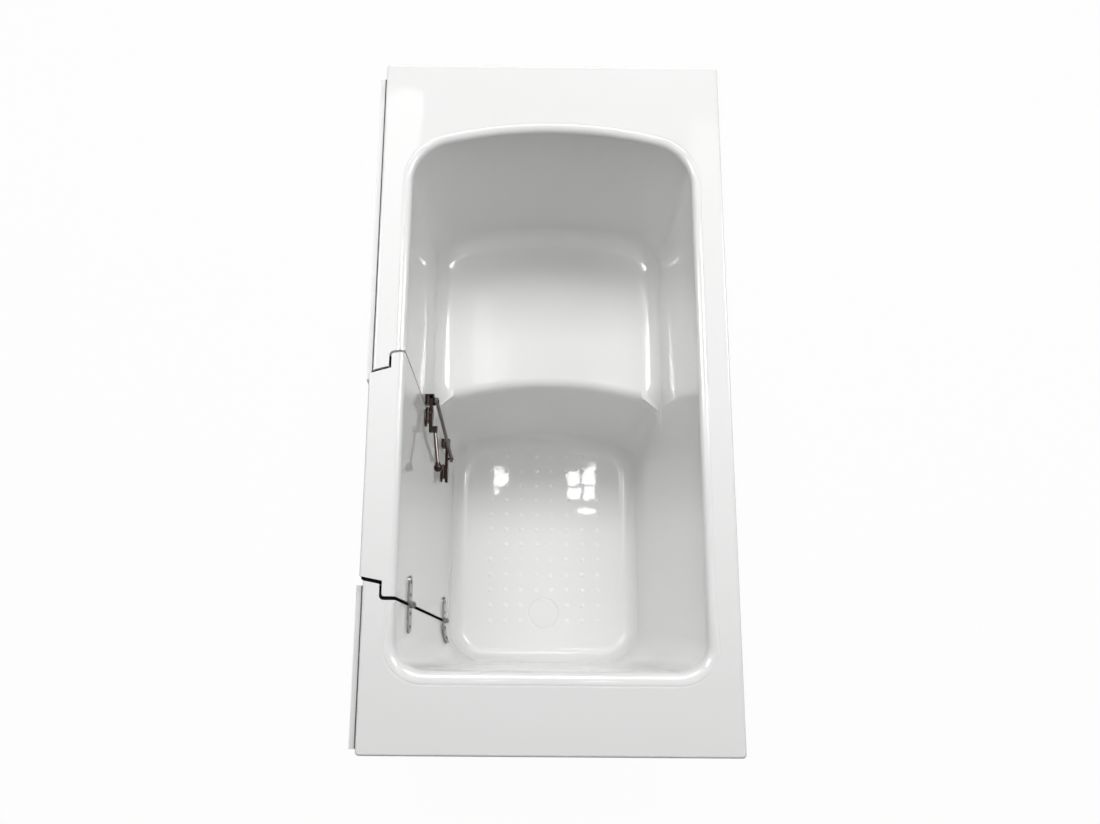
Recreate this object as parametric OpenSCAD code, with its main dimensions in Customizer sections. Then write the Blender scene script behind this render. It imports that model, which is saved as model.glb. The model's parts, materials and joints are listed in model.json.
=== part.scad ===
// Walk-in bathtub with an inward swinging door, a moulded seat and a link-rod latch.
// Millimetres. +Z is up, +Y runs from the foot end to the seat back, and the door is
// on the -X side. The origin is on the ground, under the middle of the whole object.

/* [Rim] */
// Length of the rim, from the foot end to the head end
tub_length = 1524; // [1400:1:1700]
// Width of the rim, from the door side to the wall side
tub_width = 762; // [740:1:820]
// Height of the rim above the ground
tub_height = 1016; // [960:1:1060]
// Thickness of the moulded shell
shell_t = 6; // [4:0.5:8]
// Height of the rim's turned-down skirt
skirt_h = 45; // [30:1:60]
// Corner radius of the rim in plan
rim_corner_r = 8; // [4:1:20]
// Radius that rolls the rim over into the basin
lip_r = 15; // [10:1:20]

/* [Basin] */
// Width of the rim beside the basin
side_rim_w = 67; // [60:1:80]
// Width of the rim at the foot end
foot_rim_w = 162; // [130:1:190]
// Width of the rim at the head end, at the middle of its arch
head_rim_w = 168; // [130:1:200]
// Height of the basin's floor above the ground
floor_h = 131; // [128:1:150]
// Height of the seat above the floor
seat_h = 430; // [400:1:450]
// Lean of the side walls, in degrees
side_draft = 3.2; // [2:0.1:4]
// Lean of the foot end wall, in degrees
foot_draft = 2.5; // [1:0.1:4]
// Lean of the backrest, in degrees
head_draft = 4.8; // [3:0.1:8]
// Radius of the arch in the head end wall
head_arch_r = 950; // [700:10:1500]
// Plan radius of the head end corners
head_corner_r = 100; // [70:1:120]
// Plan radius of the foot end corners, at the rim
foot_corner_r = 60; // [40:1:80]
// Distance from the door's latch edge to the middle of the seat's front edge
seat_setback = 65; // [55:1:100]
// Radius of the seat's hollowed front edge in plan
seat_front_r = 940; // [600:20:1200]
// Distance that the riser comes forward between the seat and the floor
riser_run = 32; // [0:1:50]
// Radius between the seat and the walls
seat_cove_r = 45; // [30:1:60]
// Radius of the seat's front edge
nose_r = 25; // [15:1:40]
// Radius between the floor and the walls
floor_cove_r = 42; // [30:1:50]

/* [Doorway] */
// Distance from the foot end of the rim to the door's hinge edge
hinge_edge_inset = 306; // [292:1:320]
// Width of the door at the rim
door_width = 516; // [496:1:536]
// Lean of the latch edge, in mm of shift for each mm down
latch_edge_lean = 0.14; // [0.08:0.01:0.16]
// Height of the door's lower edge above the basin's floor
door_sill_h = 77; // [70:1:120]
// Width of the rebate along the hinge edge
hinge_rebate = 34; // [25:1:40]
// Width of the rebate along the latch edge, at the seal
latch_rebate = 33; // [25:1:40]
// Width of the rebate along the lower edge
bottom_rebate = 38; // [25:1:45]
// Corner radius of the door's lower corners
door_corner_r = 60; // [40:1:80]
// Gap beside the hinge edge
hinge_gap = 5; // [4:0.5:7]
// Gap beside the latch edge and under the door
door_gap = 4.5; // [4:0.5:6]
// Depth of the space that the gasket fills
seal_gap = 5; // [4:0.5:6]
// Thickness of the door's moulded shell and of its outer skin
door_t = 5; // [3:0.5:6]
// Thickness of the board in the door
core_board_t = 18; // [12:1:24]
// Distance that the door's face stands out from the rim's edge
door_proud = 8; // [4:1:10]
// Width of the gasket strip
gasket_w = 16; // [10:1:22]

/* [Front panel] */
// Distance that the front panel stands out from the rim's edge
panel_proud = 20; // [16:1:26]
// Thickness of the front panel
panel_t = 4; // [3:0.5:5]
// Distance from the rim to the top of the panel
panel_drop = 48; // [48:1:60]
// Gap between the panel and the ground
panel_toe_gap = 12; // [8:1:30]
// Gap between the panel and the door, all round
panel_door_gap = 7; // [6:0.5:12]
// Distance from the panel's end to the end of the rim
panel_end_inset = 10; // [4:1:20]
// Depth of the returns at the panel's ends
panel_return = 18; // [12:1:24]

/* [Frame] */
// Outer size of the square frame tube
tube = 30; // [25:1:35]
// Wall of the frame tube
tube_wall = 2; // [1.5:0.5:3]
// Distance from the rim's edge to the middle of a side tube
frame_inset = 31; // [28:1:34]
// Distance from the rim's end to the middle of an end tube
frame_end_inset = 62; // [50:1:80]
// Thickness of the boards under the floor and the seat
board_t = 18; // [12:1:18]
// Width of the board under the floor
floor_board_w = 440; // [380:1:460]
// Width of the board under the seat
seat_board_w = 430; // [360:1:460]
// Diameter of a levelling foot's pad
foot_pad_d = 50; // [40:1:60]
// Diameter of a levelling foot's stud
foot_stud_d = 12; // [10:1:14]

/* [Hinges] */
// Depth of the upper hinge below the rim
upper_hinge_depth = 160; // [120:1:220]
// Height of the lower hinge above the door's lower edge
lower_hinge_h = 103; // [90:1:160]
// Length of a hinge leaf
leaf_l = 62; // [50:1:66]
// Height of a hinge
leaf_h = 35; // [28:1:45]
// Thickness of a hinge leaf
leaf_t = 5; // [3:0.5:5]
// Outer radius of the hinge barrel
barrel_r = 7; // [6:0.5:9]
// Diameter of the hinge pin
hinge_pin_d = 6; // [5:0.5:8]
// Diameter of the hinge screws
hinge_screw_d = 5; // [4:0.5:6]

/* [Latch] */
// Depth of the upper latch below the rim
upper_latch_depth = 298; // [270:1:330]
// Distance between the two latches, straight down
latch_spacing = 293; // [260:1:320]
// Distance from the door's latch edge, at the rim, to the upper latch's pivot
upper_pivot_inset = 57; // [50:1:65]
// Distance from the door's latch edge, at the rim, to the lower latch's pivot
lower_pivot_inset = 134; // [126:1:142]
// Length of the cranks that the link rod joins
crank_r = 35; // [30:1:38]
// Thickness of the latch cams
cam_t = 8; // [6:0.5:10]
// Width of a latch cam's arm
cam_w = 18; // [14:1:22]
// Distance that a cam reaches past the door's edge
cam_reach = 20; // [16:1:24]
// Diameter of the link rod and of the lever
rod_d = 9; // [7:0.5:10]
// Distance from the upper pivot to the middle of the knob
lever_l = 129; // [110:1:140]
// Diameter of the knob
knob_d = 21; // [18:1:24]
// Distance of the knob's middle from the door
knob_stand = 35; // [33:1:40]

/* [Drain] */
// Distance from the foot end of the rim to the middle of the drain
drain_inset = 336; // [330:1:370]
// Diameter of the drain's recess in the floor
recess_d = 90; // [84:1:100]
// Depth of the recess
recess_h = 5; // [4:0.5:6]
// Diameter of the hole in the floor
drain_hole_d = 52; // [46:1:56]
// Outer diameter of the drain body's threaded tail
tail_d = 50; // [44:1:54]
// Outer diameter of the waste pipe
waste_d = 40; // [36:1:44]
// Gap between the waste pipe and the rails that it passes under
waste_gap = 15; // [8:1:20]

/* [Hidden] */
$fn = 48;
// Clearances: between pieces that rest on each other, and round a turning pin
seat_gap = 0.3;
pin_gap = 0.04;
eps = 0.01;

// The panel and its screws stand out on one side only, so the tub is moved over by half
// of that to centre the whole
panel_screw_head = 2.5;
shift_x = (panel_proud + panel_screw_head) / 2;
half_l = tub_length / 2;
half_w = tub_width / 2;
basin_width = tub_width - 2 * side_rim_w;
floor_z = floor_h;
floor_depth = tub_height - floor_h;
seat_depth = floor_depth - seat_h;
door_hinge_edge = half_l - hinge_edge_inset;
door_latch_edge = door_width - door_hinge_edge;
door_bottom_depth = floor_depth - door_sill_h;
seat_front_y = door_latch_edge + seat_setback;
drain_y = half_l - drain_inset;
lower_hinge_depth = door_bottom_depth - lower_hinge_h;
lower_latch_depth = upper_latch_depth + latch_spacing;
upper_pivot_y = door_latch_edge - upper_pivot_inset;
lower_pivot_y = door_latch_edge - lower_pivot_inset;
underside_z = floor_z - shell_t;
side_run = tan(side_draft);

// X planes across the doorway, all measured from the tub's middle
door_face_x = -half_w - door_proud;
rebate_x = -basin_width / 2 - 33;
door_seal_x = rebate_x + seal_gap;
door_end_x = -basin_width / 2 + floor_depth * side_run;
// The latch edge flares towards the basin, so that the door swings clear of the jamb
plug_flare = 0.29;
flange_flare = 0.12;
jamb_t = shell_t;

// Hinge line: it leans with the wall that it is mounted on
hinge_y = -door_hinge_edge - hinge_gap / 2;
axis_stand = barrel_r + seat_gap;
barrel_gap = 0.4;

// Layers of the latch, measured from the door
base_t = 4;
boss_top = 10;
cam_x = boss_top + 0.5;
latch_gap = 0.5;
keeper_lip = 3;
keeper_top = cam_x + cam_t + latch_gap + keeper_lip;
rod_x = keeper_top + latch_gap + rod_d / 2;
eye_d = cam_w;
eye_h = rod_d - 1;
crank_pin_d = 7;
pivot_d = 8;

// Frame levels, from the ground up
board_z = underside_z - board_t;
rail_z = board_z - tube;
rim_rail_z = tub_height - shell_t - tube;
seat_board_z = tub_height - seat_depth - shell_t - board_t;
seat_rail_z = seat_board_z - tube;
side_tube_x = half_w - frame_inset;
end_tube_y = half_l - frame_end_inset;
hinge_post_y = -door_hinge_edge - 54;
latch_post_y = door_latch_edge + 55;
sill_rail_z = tub_height - door_bottom_depth - door_gap - jamb_t - tube - 2;
seat_board_y0 = seat_front_y + 45;
seat_board_y1 = half_l - head_rim_w - seat_depth * tan(head_draft) - seat_cove_r - 6;
seat_leg_ys = [seat_board_y0 + 23, seat_board_y1 - 5];
seat_leg_x = seat_board_w / 2 - tube / 2;
drain_rail_y = -drain_y - 59;
mid_rail_y = (drain_rail_y + seat_front_y - 77) / 2;
cross_ys = concat([-end_tube_y, drain_rail_y, mid_rail_y, seat_front_y - 77], seat_leg_ys,
  [end_tube_y]);
foot_ys = [-end_tube_y + 60, 0, end_tube_y - 60];
foot_pad_h = 8;
lock_nut_h = 8;

// Number of stretches in each part of a ring round the basin
n_side = 4;
n_corner = 6;
n_foot = 4;
n_back = 10;
n_riser_corner = 7;
n_riser = 2 * n_side + 2 * n_corner + n_back - 2 * n_riser_corner;

// ---- plan outlines --------------------------------------------------------------

// Point on a circle round c
function on_arc(c, r, a) = [c[0] + r * cos(a), c[1] + r * sin(a)];

// Points of an arc from angle a to angle b, leaving out its first point
function arc_tail(c, r, a, b, n) = [for (i = [1:n]) on_arc(c, r, a + (b - a) * i / n)];

// Points of a straight line, leaving out its first point
function line_tail(p, q, n) = [for (i = [1:n]) p + (q - p) * i / n];

function without_last(v) = [for (i = [0:len(v) - 2]) v[i]];

// Foot half of an outline: from the side wall at ny, round the foot end, to the other side
function foot_half(hw, yn, r, ny) =
  concat(
    [[-hw, ny]],
    line_tail([-hw, ny], [-hw, yn + r], n_side),
    arc_tail([-hw + r, yn + r], r, 180, 270, n_corner),
    without_last(line_tail([-hw + r, yn], [hw - r, yn], n_foot)),
    [[hw - r, yn]],
    arc_tail([hw - r, yn + r], r, 270, 360, n_corner),
    line_tail([hw, yn + r], [hw, ny], n_side)
  );

// Middle of the corner arc that joins a side wall to an arch of radius ra
function arch_corner_y(hw, yf, ra, rc) =
  yf - ra + sqrt((ra - rc) * (ra - rc) - (hw - rc) * (hw - rc));

// Head half of an outline that ends in an arch; ns stretches run along each side first
function head_half(hw, yf, ra, rc, ny, ns, nc, na) =
  let (
    cy = arch_corner_y(hw, yf, ra, rc),
    a = atan2(cy - (yf - ra), hw - rc)
  )
  concat(
    ns > 0 ? line_tail([hw, ny], [hw, cy], ns) : [],
    arc_tail([hw - rc, cy], rc, 0, a, nc),
    arc_tail([0, yf - ra], ra, a, 180 - a, na),
    ns > 0
      ? concat(
          arc_tail([-hw + rc, cy], rc, 180 - a, 180, nc),
          without_last(line_tail([-hw, cy], [-hw, ny], ns)))
      : without_last(arc_tail([-hw + rc, cy], rc, 180 - a, 180, nc))
  );

// Head half of the rim's rectangle
function square_head(hw, yf, rc, ny) =
  concat(
    line_tail([hw, ny], [hw, yf - rc], n_side),
    arc_tail([hw - rc, yf - rc], rc, 0, 90, n_corner),
    line_tail([hw - rc, yf], [-hw + rc, yf], n_back),
    arc_tail([-hw + rc, yf - rc], rc, 90, 180, n_corner),
    without_last(line_tail([-hw, yf - rc], [-hw, ny], n_side))
  );

// Sizes of the basin at depth d, moved outwards by g
function wall_x(d, g) = basin_width / 2 - d * side_run + g;
function foot_y(d, g) = -half_l + foot_rim_w + d * tan(foot_draft) - g;
function head_y(d, g) = half_l - head_rim_w - d * tan(head_draft) + g;
function foot_r(d, g) = foot_corner_r + d * 0.05 + g;
function riser_share(d) = (d - seat_depth) / seat_h;
function riser_y(d) = seat_front_y - riser_run * riser_share(d);
function riser_corner_r(d) = 60 + 35 * riser_share(d);
function riser_side_y(d, gx, gy) =
  arch_corner_y(wall_x(d, gx), riser_y(d) + gy, seat_front_r + gy, riser_corner_r(d) + gx);

// Lifts an outline to depth d below the rim
function lift(pts, d) = [for (p = pts) [p[0], p[1], tub_height - d]];

// A ring of the basin above the seat: foot half at depth df, head half at depth dh
function upper_ring(df, dh, gf, gh) =
  let (ny = riser_side_y(seat_depth, 0, nose_r))
  concat(
    lift(foot_half(wall_x(df, gf), foot_y(df, gf), foot_r(df, gf), ny), df),
    lift(head_half(wall_x(dh, gh), head_y(dh, gh), head_arch_r + gh, head_corner_r + gh,
      ny, n_side, n_corner, n_back), dh)
  );

// A ring of the footwell: gy moves the riser and g moves every other wall
function well_ring(df, dr, g, gy) =
  let (ny = riser_side_y(dr, g, gy))
  concat(
    lift(foot_half(wall_x(df, g), foot_y(df, g), foot_r(df, g), ny), df),
    lift(head_half(wall_x(dr, g), riser_y(dr) + gy, seat_front_r + gy,
      riser_corner_r(dr) + g, ny, 0, n_riser_corner, n_riser), dr)
  );

// A ring of the rim's rectangle, moved inwards by i
function rim_ring(i, d) =
  lift(concat(
    foot_half(half_w - i, -half_l + i, rim_corner_r, 0),
    square_head(half_w - i, half_l - i, rim_corner_r, 0)), d);

// Rings of one face of the shell, from the rim to the floor; o is 0 inside, shell_t outside
function face_rings(o) =
  let (
    lip = lip_r - o,
    cove = seat_cove_r + o,
    nose = nose_r - o,
    toe = floor_cove_r + o,
    sd = seat_depth + o,
    fd = floor_depth + o
  )
  concat(
    [for (a = [0, 30, 60, 90])
      let (d = o + lip * (1 - cos(a)), g = o + lip * (1 - sin(a)))
      upper_ring(d, d, g, g)],
    [for (a = [0, 30, 60, 90])
      let (d = sd - cove * (1 - sin(a)))
      upper_ring(d, d, o, o - cove * (1 - cos(a)))],
    [for (a = [0, 30, 60, 90])
      let (d = sd + nose * (1 - cos(a)))
      well_ring(d + 2, d, o, o + nose * (1 - sin(a)))],
    [for (a = [0, 30, 60, 90])
      let (d = fd - toe * (1 - sin(a)), g = o - toe * (1 - cos(a)))
      well_ring(d, d, g, g)]
  );

function mean(v) = v * [for (x = v) 1] / len(v);
function reversed(v) = [for (i = [len(v) - 1:-1:0]) v[i]];

// Closed solid through a stack of rings with equal numbers of points
module ring_solid(rings) {
  n = len(rings[0]);
  m = len(rings);
  // The middle of each end closes it with a fan of triangles
  ends = [for (r = [rings[0], rings[m - 1]]) [for (k = [0:2]) mean([for (p = r) p[k]])]];
  pts = concat([for (r = rings) for (p = r) p], ends);
  sides = [for (k = [0:m - 2]) for (i = [0:n - 1])
    let (j = (i + 1) % n)
    each [[k * n + i, k * n + j, (k + 1) * n + j], [k * n + i, (k + 1) * n + j, (k + 1) * n + i]]];
  first = [for (i = [0:n - 1]) [n * m, (i + 1) % n, i]];
  last = [for (i = [0:n - 1]) [n * m + 1, (m - 1) * n + i, (m - 1) * n + (i + 1) % n]];
  polyhedron(points = pts, faces = concat(sides, first, last), convexity = 10);
}

// ---- places on the drafted wall of the door side --------------------------------

// Local +X stands out of the wall into the basin, local +Z runs up the wall
module on_wall(y, d) {
  translate([-wall_x(d, 0), y, tub_height - d])
    rotate([0, -side_draft, 0])
      children();
}

// Everything is drawn round the tub's own middle and then moved over
module tub_place() {
  translate([shift_x, 0, 0])
    children();
}

// ---- door outlines --------------------------------------------------------------

// Arc of radius r tangent to the lines a-b and b-c
function round_corner(a, b, c, r, n) =
  let (
    u = (a - b) / norm(a - b),
    v = (c - b) / norm(c - b),
    half = acos(u * v) / 2,
    mid = (u + v) / norm(u + v),
    centre = b + mid * r / sin(half),
    p = b + u * r / tan(half),
    q = b + v * r / tan(half),
    a0 = atan2(p[1] - centre[1], p[0] - centre[0]),
    raw = atan2(q[1] - centre[1], q[0] - centre[0]) - a0,
    sweep = raw > 180 ? raw - 360 : raw < -180 ? raw + 360 : raw
  )
  [for (i = [0:n]) on_arc(centre, r, a0 + sweep * i / n)];

// Outline of the doorway in Y and Z: hinge edge, latch edge at the rim, lower edge
function door_outline(hinge_edge, latch_edge, bottom, r) =
  let (
    top = 8,
    zt = tub_height + top,
    zb = tub_height - bottom,
    pa = [hinge_edge, zt],
    pb = [hinge_edge, zb],
    pc = [latch_edge - latch_edge_lean * bottom, zb],
    pd = [latch_edge + latch_edge_lean * top, zt]
  )
  concat([pa], round_corner(pa, pb, pc, r, 6), round_corner(pb, pc, pd, r, 6), [pd]);

// The flange is the wide inner half of the door, and the plug its narrow outer half
function flange_outline(x, hg, g) =
  door_outline(-door_hinge_edge - hg, door_latch_edge + g + flange_flare * (x - rebate_x),
    door_bottom_depth + g, door_corner_r + g);
function plug_outline(x, hg, g) =
  door_outline(-door_hinge_edge + hinge_rebate - hg,
    door_latch_edge - latch_rebate + g + plug_flare * (x - rebate_x),
    door_bottom_depth - bottom_rebate + g, door_corner_r - 20 + g);

// Stands an outline of Y and Z up at x
function stood(x, pts) = [for (p = pts) [x, p[0], p[1]]];

module flange_block(x0, x1, hg, g) {
  ring_solid([stood(x1, flange_outline(x1, hg, g)), stood(x0, flange_outline(x0, hg, g))]);
}

module plug_block(x0, x1, hg, g) {
  ring_solid([stood(x1, plug_outline(x1, hg, g)), stood(x0, plug_outline(x0, hg, g))]);
}

// Section of the door across its width, with its edges moved inwards by i
module door_section(i) {
  top = tub_height - i;
  low = floor_depth - 20;
  r = lip_r + i;
  edge_r = 4;
  // The wall's face moved in by i, measured square to the wall
  function face_x(d) = -wall_x(d, 0) - i / cos(side_draft);
  lip_c = [face_x(i + r) - r, top - r];
  polygon(concat(
    [[door_face_x - (i > 0 ? 20 : 0), tub_height - low]],
    i > 0 ? [[door_face_x - 20, top]]
      : arc_pts([door_face_x + edge_r, top - edge_r], edge_r, 180, 90, 4),
    arc_pts(lip_c, r, 90, 0, 6),
    [[face_x(low), tub_height - low]]
  ));
}

function arc_pts(c, r, a, b, n) = [for (i = [0:n]) on_arc(c, r, a + (b - a) * i / n)];

module door_prism(i) {
  translate([0, door_latch_edge + 40, 0])
    rotate([90, 0, 0])
      linear_extrude(height = door_latch_edge + door_hinge_edge + 80)
        door_section(i);
}

// ---- tub ------------------------------------------------------------------------

// Space inside the basin on the door side, used to trim what stands behind the wall
module basin_side_space() {
  on_wall(-door_hinge_edge - 60, floor_depth)
    translate([0, 0, -floor_h])
      cube([half_w, door_width + 140, 2 * tub_height]);
}

// Rebated frame round the doorway, moulded into the wall
module jamb() {
  skin_hg = hinge_gap + jamb_t;
  skin_g = door_gap + jamb_t;
  top = shell_t / 2;
  difference() {
    union() {
      flange_block(rebate_x - jamb_t, door_end_x, skin_hg, skin_g);
      plug_block(-half_w, rebate_x - jamb_t + 1, skin_hg, skin_g);
    }
    basin_side_space();
    translate([-tub_width, -half_l, tub_height - top])
      cube([tub_width, tub_length, shell_t + door_proud]);
  }
}

module doorway() {
  flange_block(rebate_x, door_end_x + 30, hinge_gap, door_gap);
  plug_block(-half_w - 20, rebate_x + 1, hinge_gap, door_gap);
}

module tub_shell() {
  boss_h = recess_h;
  color("white")
    tub_place()
      difference() {
        union() {
          ring_solid(concat(
            reversed(face_rings(0)),
            [rim_ring(0, 0), rim_ring(0, skirt_h), rim_ring(shell_t, skirt_h),
             rim_ring(shell_t, shell_t)],
            face_rings(shell_t)));
          jamb();
          // Local thickening under the drain recess
          translate([0, -drain_y, underside_z - boss_h])
            cylinder(d = recess_d + 14, h = boss_h + shell_t / 2);
        }
        doorway();
        translate([0, -drain_y, floor_z - recess_h])
          cylinder(d = recess_d, h = 50);
        translate([0, -drain_y, underside_z - 50])
          cylinder(d = drain_hole_d, h = 100);
      }
}

// ---- boards and frame -----------------------------------------------------------

module floor_board() {
  back = seat_front_y - 70;
  front = -half_l + foot_rim_w + 100;
  color("tan")
    tub_place()
      difference() {
        translate([-floor_board_w / 2, front, board_z])
          cube([floor_board_w, back - front, board_t]);
        translate([0, -drain_y, board_z - 1])
          cylinder(d = recess_d + 24, h = board_t + 2);
      }
}

module seat_board() {
  color("tan")
    tub_place()
      translate([-seat_board_w / 2, seat_board_y0, seat_board_z])
        cube([seat_board_w, seat_board_y1 - seat_board_y0, board_t]);
}

// Square tube along Z, from z0 to z1, with its middle at x, y
module post(x, y, z0, z1) {
  translate([x - tube / 2, y - tube / 2, z0])
    difference() {
      cube([tube, tube, z1 - z0]);
      translate([tube_wall, tube_wall, -1])
        cube([tube - 2 * tube_wall, tube - 2 * tube_wall, z1 - z0 + 2]);
    }
}

// Square tube along Y
module rail_y(x, y0, y1, z) {
  translate([x - tube / 2, y0, z])
    difference() {
      cube([tube, y1 - y0, tube]);
      translate([tube_wall, -1, tube_wall])
        cube([tube - 2 * tube_wall, y1 - y0 + 2, tube - 2 * tube_wall]);
    }
}

// Square tube along X
module rail_x(x0, x1, y, z) {
  translate([x0, y - tube / 2, z])
    difference() {
      cube([x1 - x0, tube, tube]);
      translate([-1, tube_wall, tube_wall])
        cube([x1 - x0 + 2, tube - 2 * tube_wall, tube - 2 * tube_wall]);
    }
}

module base_side_rails() {
  color("dimgray")
    tub_place()
      for (s = [-1, 1])
        difference() {
          rail_y(s * side_tube_x, -end_tube_y - tube / 2, end_tube_y + tube / 2, rail_z);
          for (y = foot_ys)
            translate([s * side_tube_x, y, rail_z - 1])
              cylinder(d = foot_stud_d + 2 * seat_gap, h = tube_wall + 2);
        }
}

module base_cross_rails() {
  inner = side_tube_x - tube / 2;
  color("dimgray")
    tub_place()
      for (y = cross_ys)
        rail_x(-inner, inner, y, rail_z);
}

module corner_posts() {
  color("dimgray")
    tub_place()
      for (sx = [-1, 1], sy = [-1, 1])
        post(sx * side_tube_x, sy * end_tube_y, rail_z + tube, rim_rail_z);
}

module rear_post() {
  color("dimgray")
    tub_place()
      post(side_tube_x, 0, rail_z + tube, rim_rail_z);
}

module hinge_post() {
  color("dimgray")
    tub_place()
      post(-side_tube_x, hinge_post_y, rail_z + tube, rim_rail_z);
}

module latch_post() {
  color("dimgray")
    tub_place()
      post(-side_tube_x, latch_post_y, rail_z + tube, rim_rail_z);
}

module sill_rail() {
  color("dimgray")
    tub_place()
      rail_y(-side_tube_x, hinge_post_y + tube / 2, latch_post_y - tube / 2, sill_rail_z);
}

module rim_end_rails() {
  inner = side_tube_x - tube / 2;
  color("dimgray")
    tub_place()
      for (s = [-1, 1])
        rail_x(-inner, inner, s * end_tube_y, rim_rail_z);
}

module rear_rim_rail() {
  color("dimgray")
    tub_place()
      rail_y(side_tube_x, -end_tube_y - tube / 2, end_tube_y + tube / 2, rim_rail_z);
}

module front_rim_rails() {
  color("dimgray")
    tub_place() {
      rail_y(-side_tube_x, -end_tube_y - tube / 2, hinge_post_y + tube / 2, rim_rail_z);
      rail_y(-side_tube_x, latch_post_y - tube / 2, end_tube_y + tube / 2, rim_rail_z);
    }
}

module seat_legs() {
  color("dimgray")
    tub_place()
      for (s = [-1, 1], y = seat_leg_ys)
        post(s * seat_leg_x, y, rail_z + tube, seat_rail_z);
}

module seat_rails() {
  reach = seat_leg_x + tube / 2;
  color("dimgray")
    tub_place()
      for (y = seat_leg_ys)
        rail_x(-reach, reach, y, seat_rail_z);
}

// Levelling foot: a pad on the ground and a stud up into the rail
module levelling_feet() {
  color("silver")
    tub_place()
      for (s = [-1, 1], y = foot_ys)
        translate([s * side_tube_x, y, 0]) {
          cylinder(d = foot_pad_d, h = foot_pad_h);
          translate([0, 0, foot_pad_h - eps])
            cylinder(d = foot_stud_d * 2, h = foot_pad_h);
          translate([0, 0, foot_pad_h])
            cylinder(d = foot_stud_d, h = rail_z + tube - tube_wall - 2 - foot_pad_h);
        }
}

module foot_lock_nuts() {
  color("silver")
    tub_place()
      for (s = [-1, 1], y = foot_ys)
        translate([s * side_tube_x, y, rail_z - lock_nut_h])
          difference() {
            cylinder(d = foot_stud_d * 1.8, h = lock_nut_h, $fn = 6);
            translate([0, 0, -1])
              cylinder(d = foot_stud_d + 2 * seat_gap, h = lock_nut_h + 2);
          }
}

// ---- front panel ----------------------------------------------------------------

panel_x = -half_w - panel_proud;
panel_top_z = tub_height - panel_drop;
panel_half_l = half_l - panel_end_inset;

// Slab between two X planes with the panel's own outline, open round the door
module panel_slab(x0, x1, edge) {
  difference() {
    translate([x0, -panel_half_l + edge, panel_toe_gap + edge])
      cube([x1 - x0, 2 * panel_half_l - 2 * edge, panel_top_z - panel_toe_gap - 2 * edge]);
    translate([x0 - 1, 0, 0])
      rotate([90, 0, 90])
        linear_extrude(height = x1 - x0 + 2)
          polygon(plug_outline(door_face_x, panel_door_gap + edge, panel_door_gap + edge));
  }
}

module front_panel() {
  skin_x = panel_x + panel_t;
  color("white")
    tub_place() {
      difference() {
        panel_slab(panel_x, panel_x + panel_return, 0);
        translate([skin_x - panel_x, 0, 0])
          panel_slab(panel_x, panel_x + panel_return, panel_t);
        at_brackets()
          translate([panel_x - 1, 0, bracket_w / 2])
            rotate([0, 90, 0])
              cylinder(d = panel_screw_d + 2 * seat_gap, h = panel_t + 2);
      }
      // Top return that reaches in under the rim's skirt
      for (y = [[-panel_half_l, hinge_post_y - 10], [latch_post_y + 10, panel_half_l]])
        translate([panel_x + panel_return - eps, y[0], panel_top_z - panel_t])
          cube([panel_proud - panel_return + shell_t, y[1] - y[0], panel_t]);
    }
}

bracket_t = 3;
bracket_w = 30;
bracket_zs = [sill_rail_z + tube + 4.5, rim_rail_z - 120];
panel_post_ys = [-end_tube_y, hinge_post_y, latch_post_y, end_tube_y];
panel_screw_d = 5;

// Z-shaped bracket between a post and the back of the panel
module panel_bracket() {
  x0 = panel_x + panel_t;
  x1 = -side_tube_x - tube / 2;
  difference() {
    union() {
      translate([x0, -bracket_w / 2, 0])
        cube([bracket_t, bracket_w, bracket_w]);
      translate([x0, -bracket_w / 2, 0])
        cube([x1 - x0, bracket_w, bracket_t]);
      translate([x1 - bracket_t, -bracket_w / 2, -bracket_w])
        cube([bracket_t, bracket_w, bracket_w + bracket_t]);
    }
    translate([x0 - 1, 0, bracket_w / 2])
      rotate([0, 90, 0])
        cylinder(d = panel_screw_d + 2 * seat_gap, h = bracket_t + 2);
  }
}

module at_brackets() {
  for (y = panel_post_ys, z = bracket_zs)
    translate([0, y, z])
      children();
}

module panel_brackets() {
  color("silver")
    tub_place()
      at_brackets()
        panel_bracket();
}

module panel_screws() {
  color("white")
    tub_place()
      at_brackets()
        translate([panel_x - panel_screw_head, 0, bracket_w / 2])
          rotate([0, 90, 0]) {
            cylinder(d = panel_screw_d * 2.4, h = panel_screw_head);
            cylinder(d = panel_screw_d, h = panel_screw_head + panel_t + bracket_t + 4);
          }
}

// ---- door -----------------------------------------------------------------------

module door_solid(i) {
  intersection() {
    union() {
      flange_block(door_seal_x + i, door_end_x + 20, -i, -i);
      plug_block(door_face_x - (i > 0 ? 10 : 0), door_seal_x + i + eps, -i, -i);
    }
    door_prism(i);
  }
}

module door_inner_shell() {
  color("white")
    tub_place()
      difference() {
        door_solid(0);
        door_solid(door_t);
      }
}

// A board inside the plug, between two X planes, g clear of the shell
module plug_board(x0, x1, g) {
  inset = door_t + g;
  intersection() {
    translate([x0, 0, 0])
      rotate([90, 0, 90])
        linear_extrude(height = x1 - x0)
          polygon(plug_outline(x0, -inset, -inset));
    translate([x0 - 1, -half_l, 0])
      cube([x1 - x0 + 2, tub_length, tub_height - door_t - g]);
  }
}

module door_outer_skin() {
  color("white")
    tub_place()
      plug_board(door_face_x, door_face_x + door_t, seat_gap);
}

module door_core_board() {
  x0 = door_face_x + door_t + seat_gap;
  color("tan")
    tub_place()
      plug_board(x0, x0 + core_board_t, 1);
}

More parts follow.
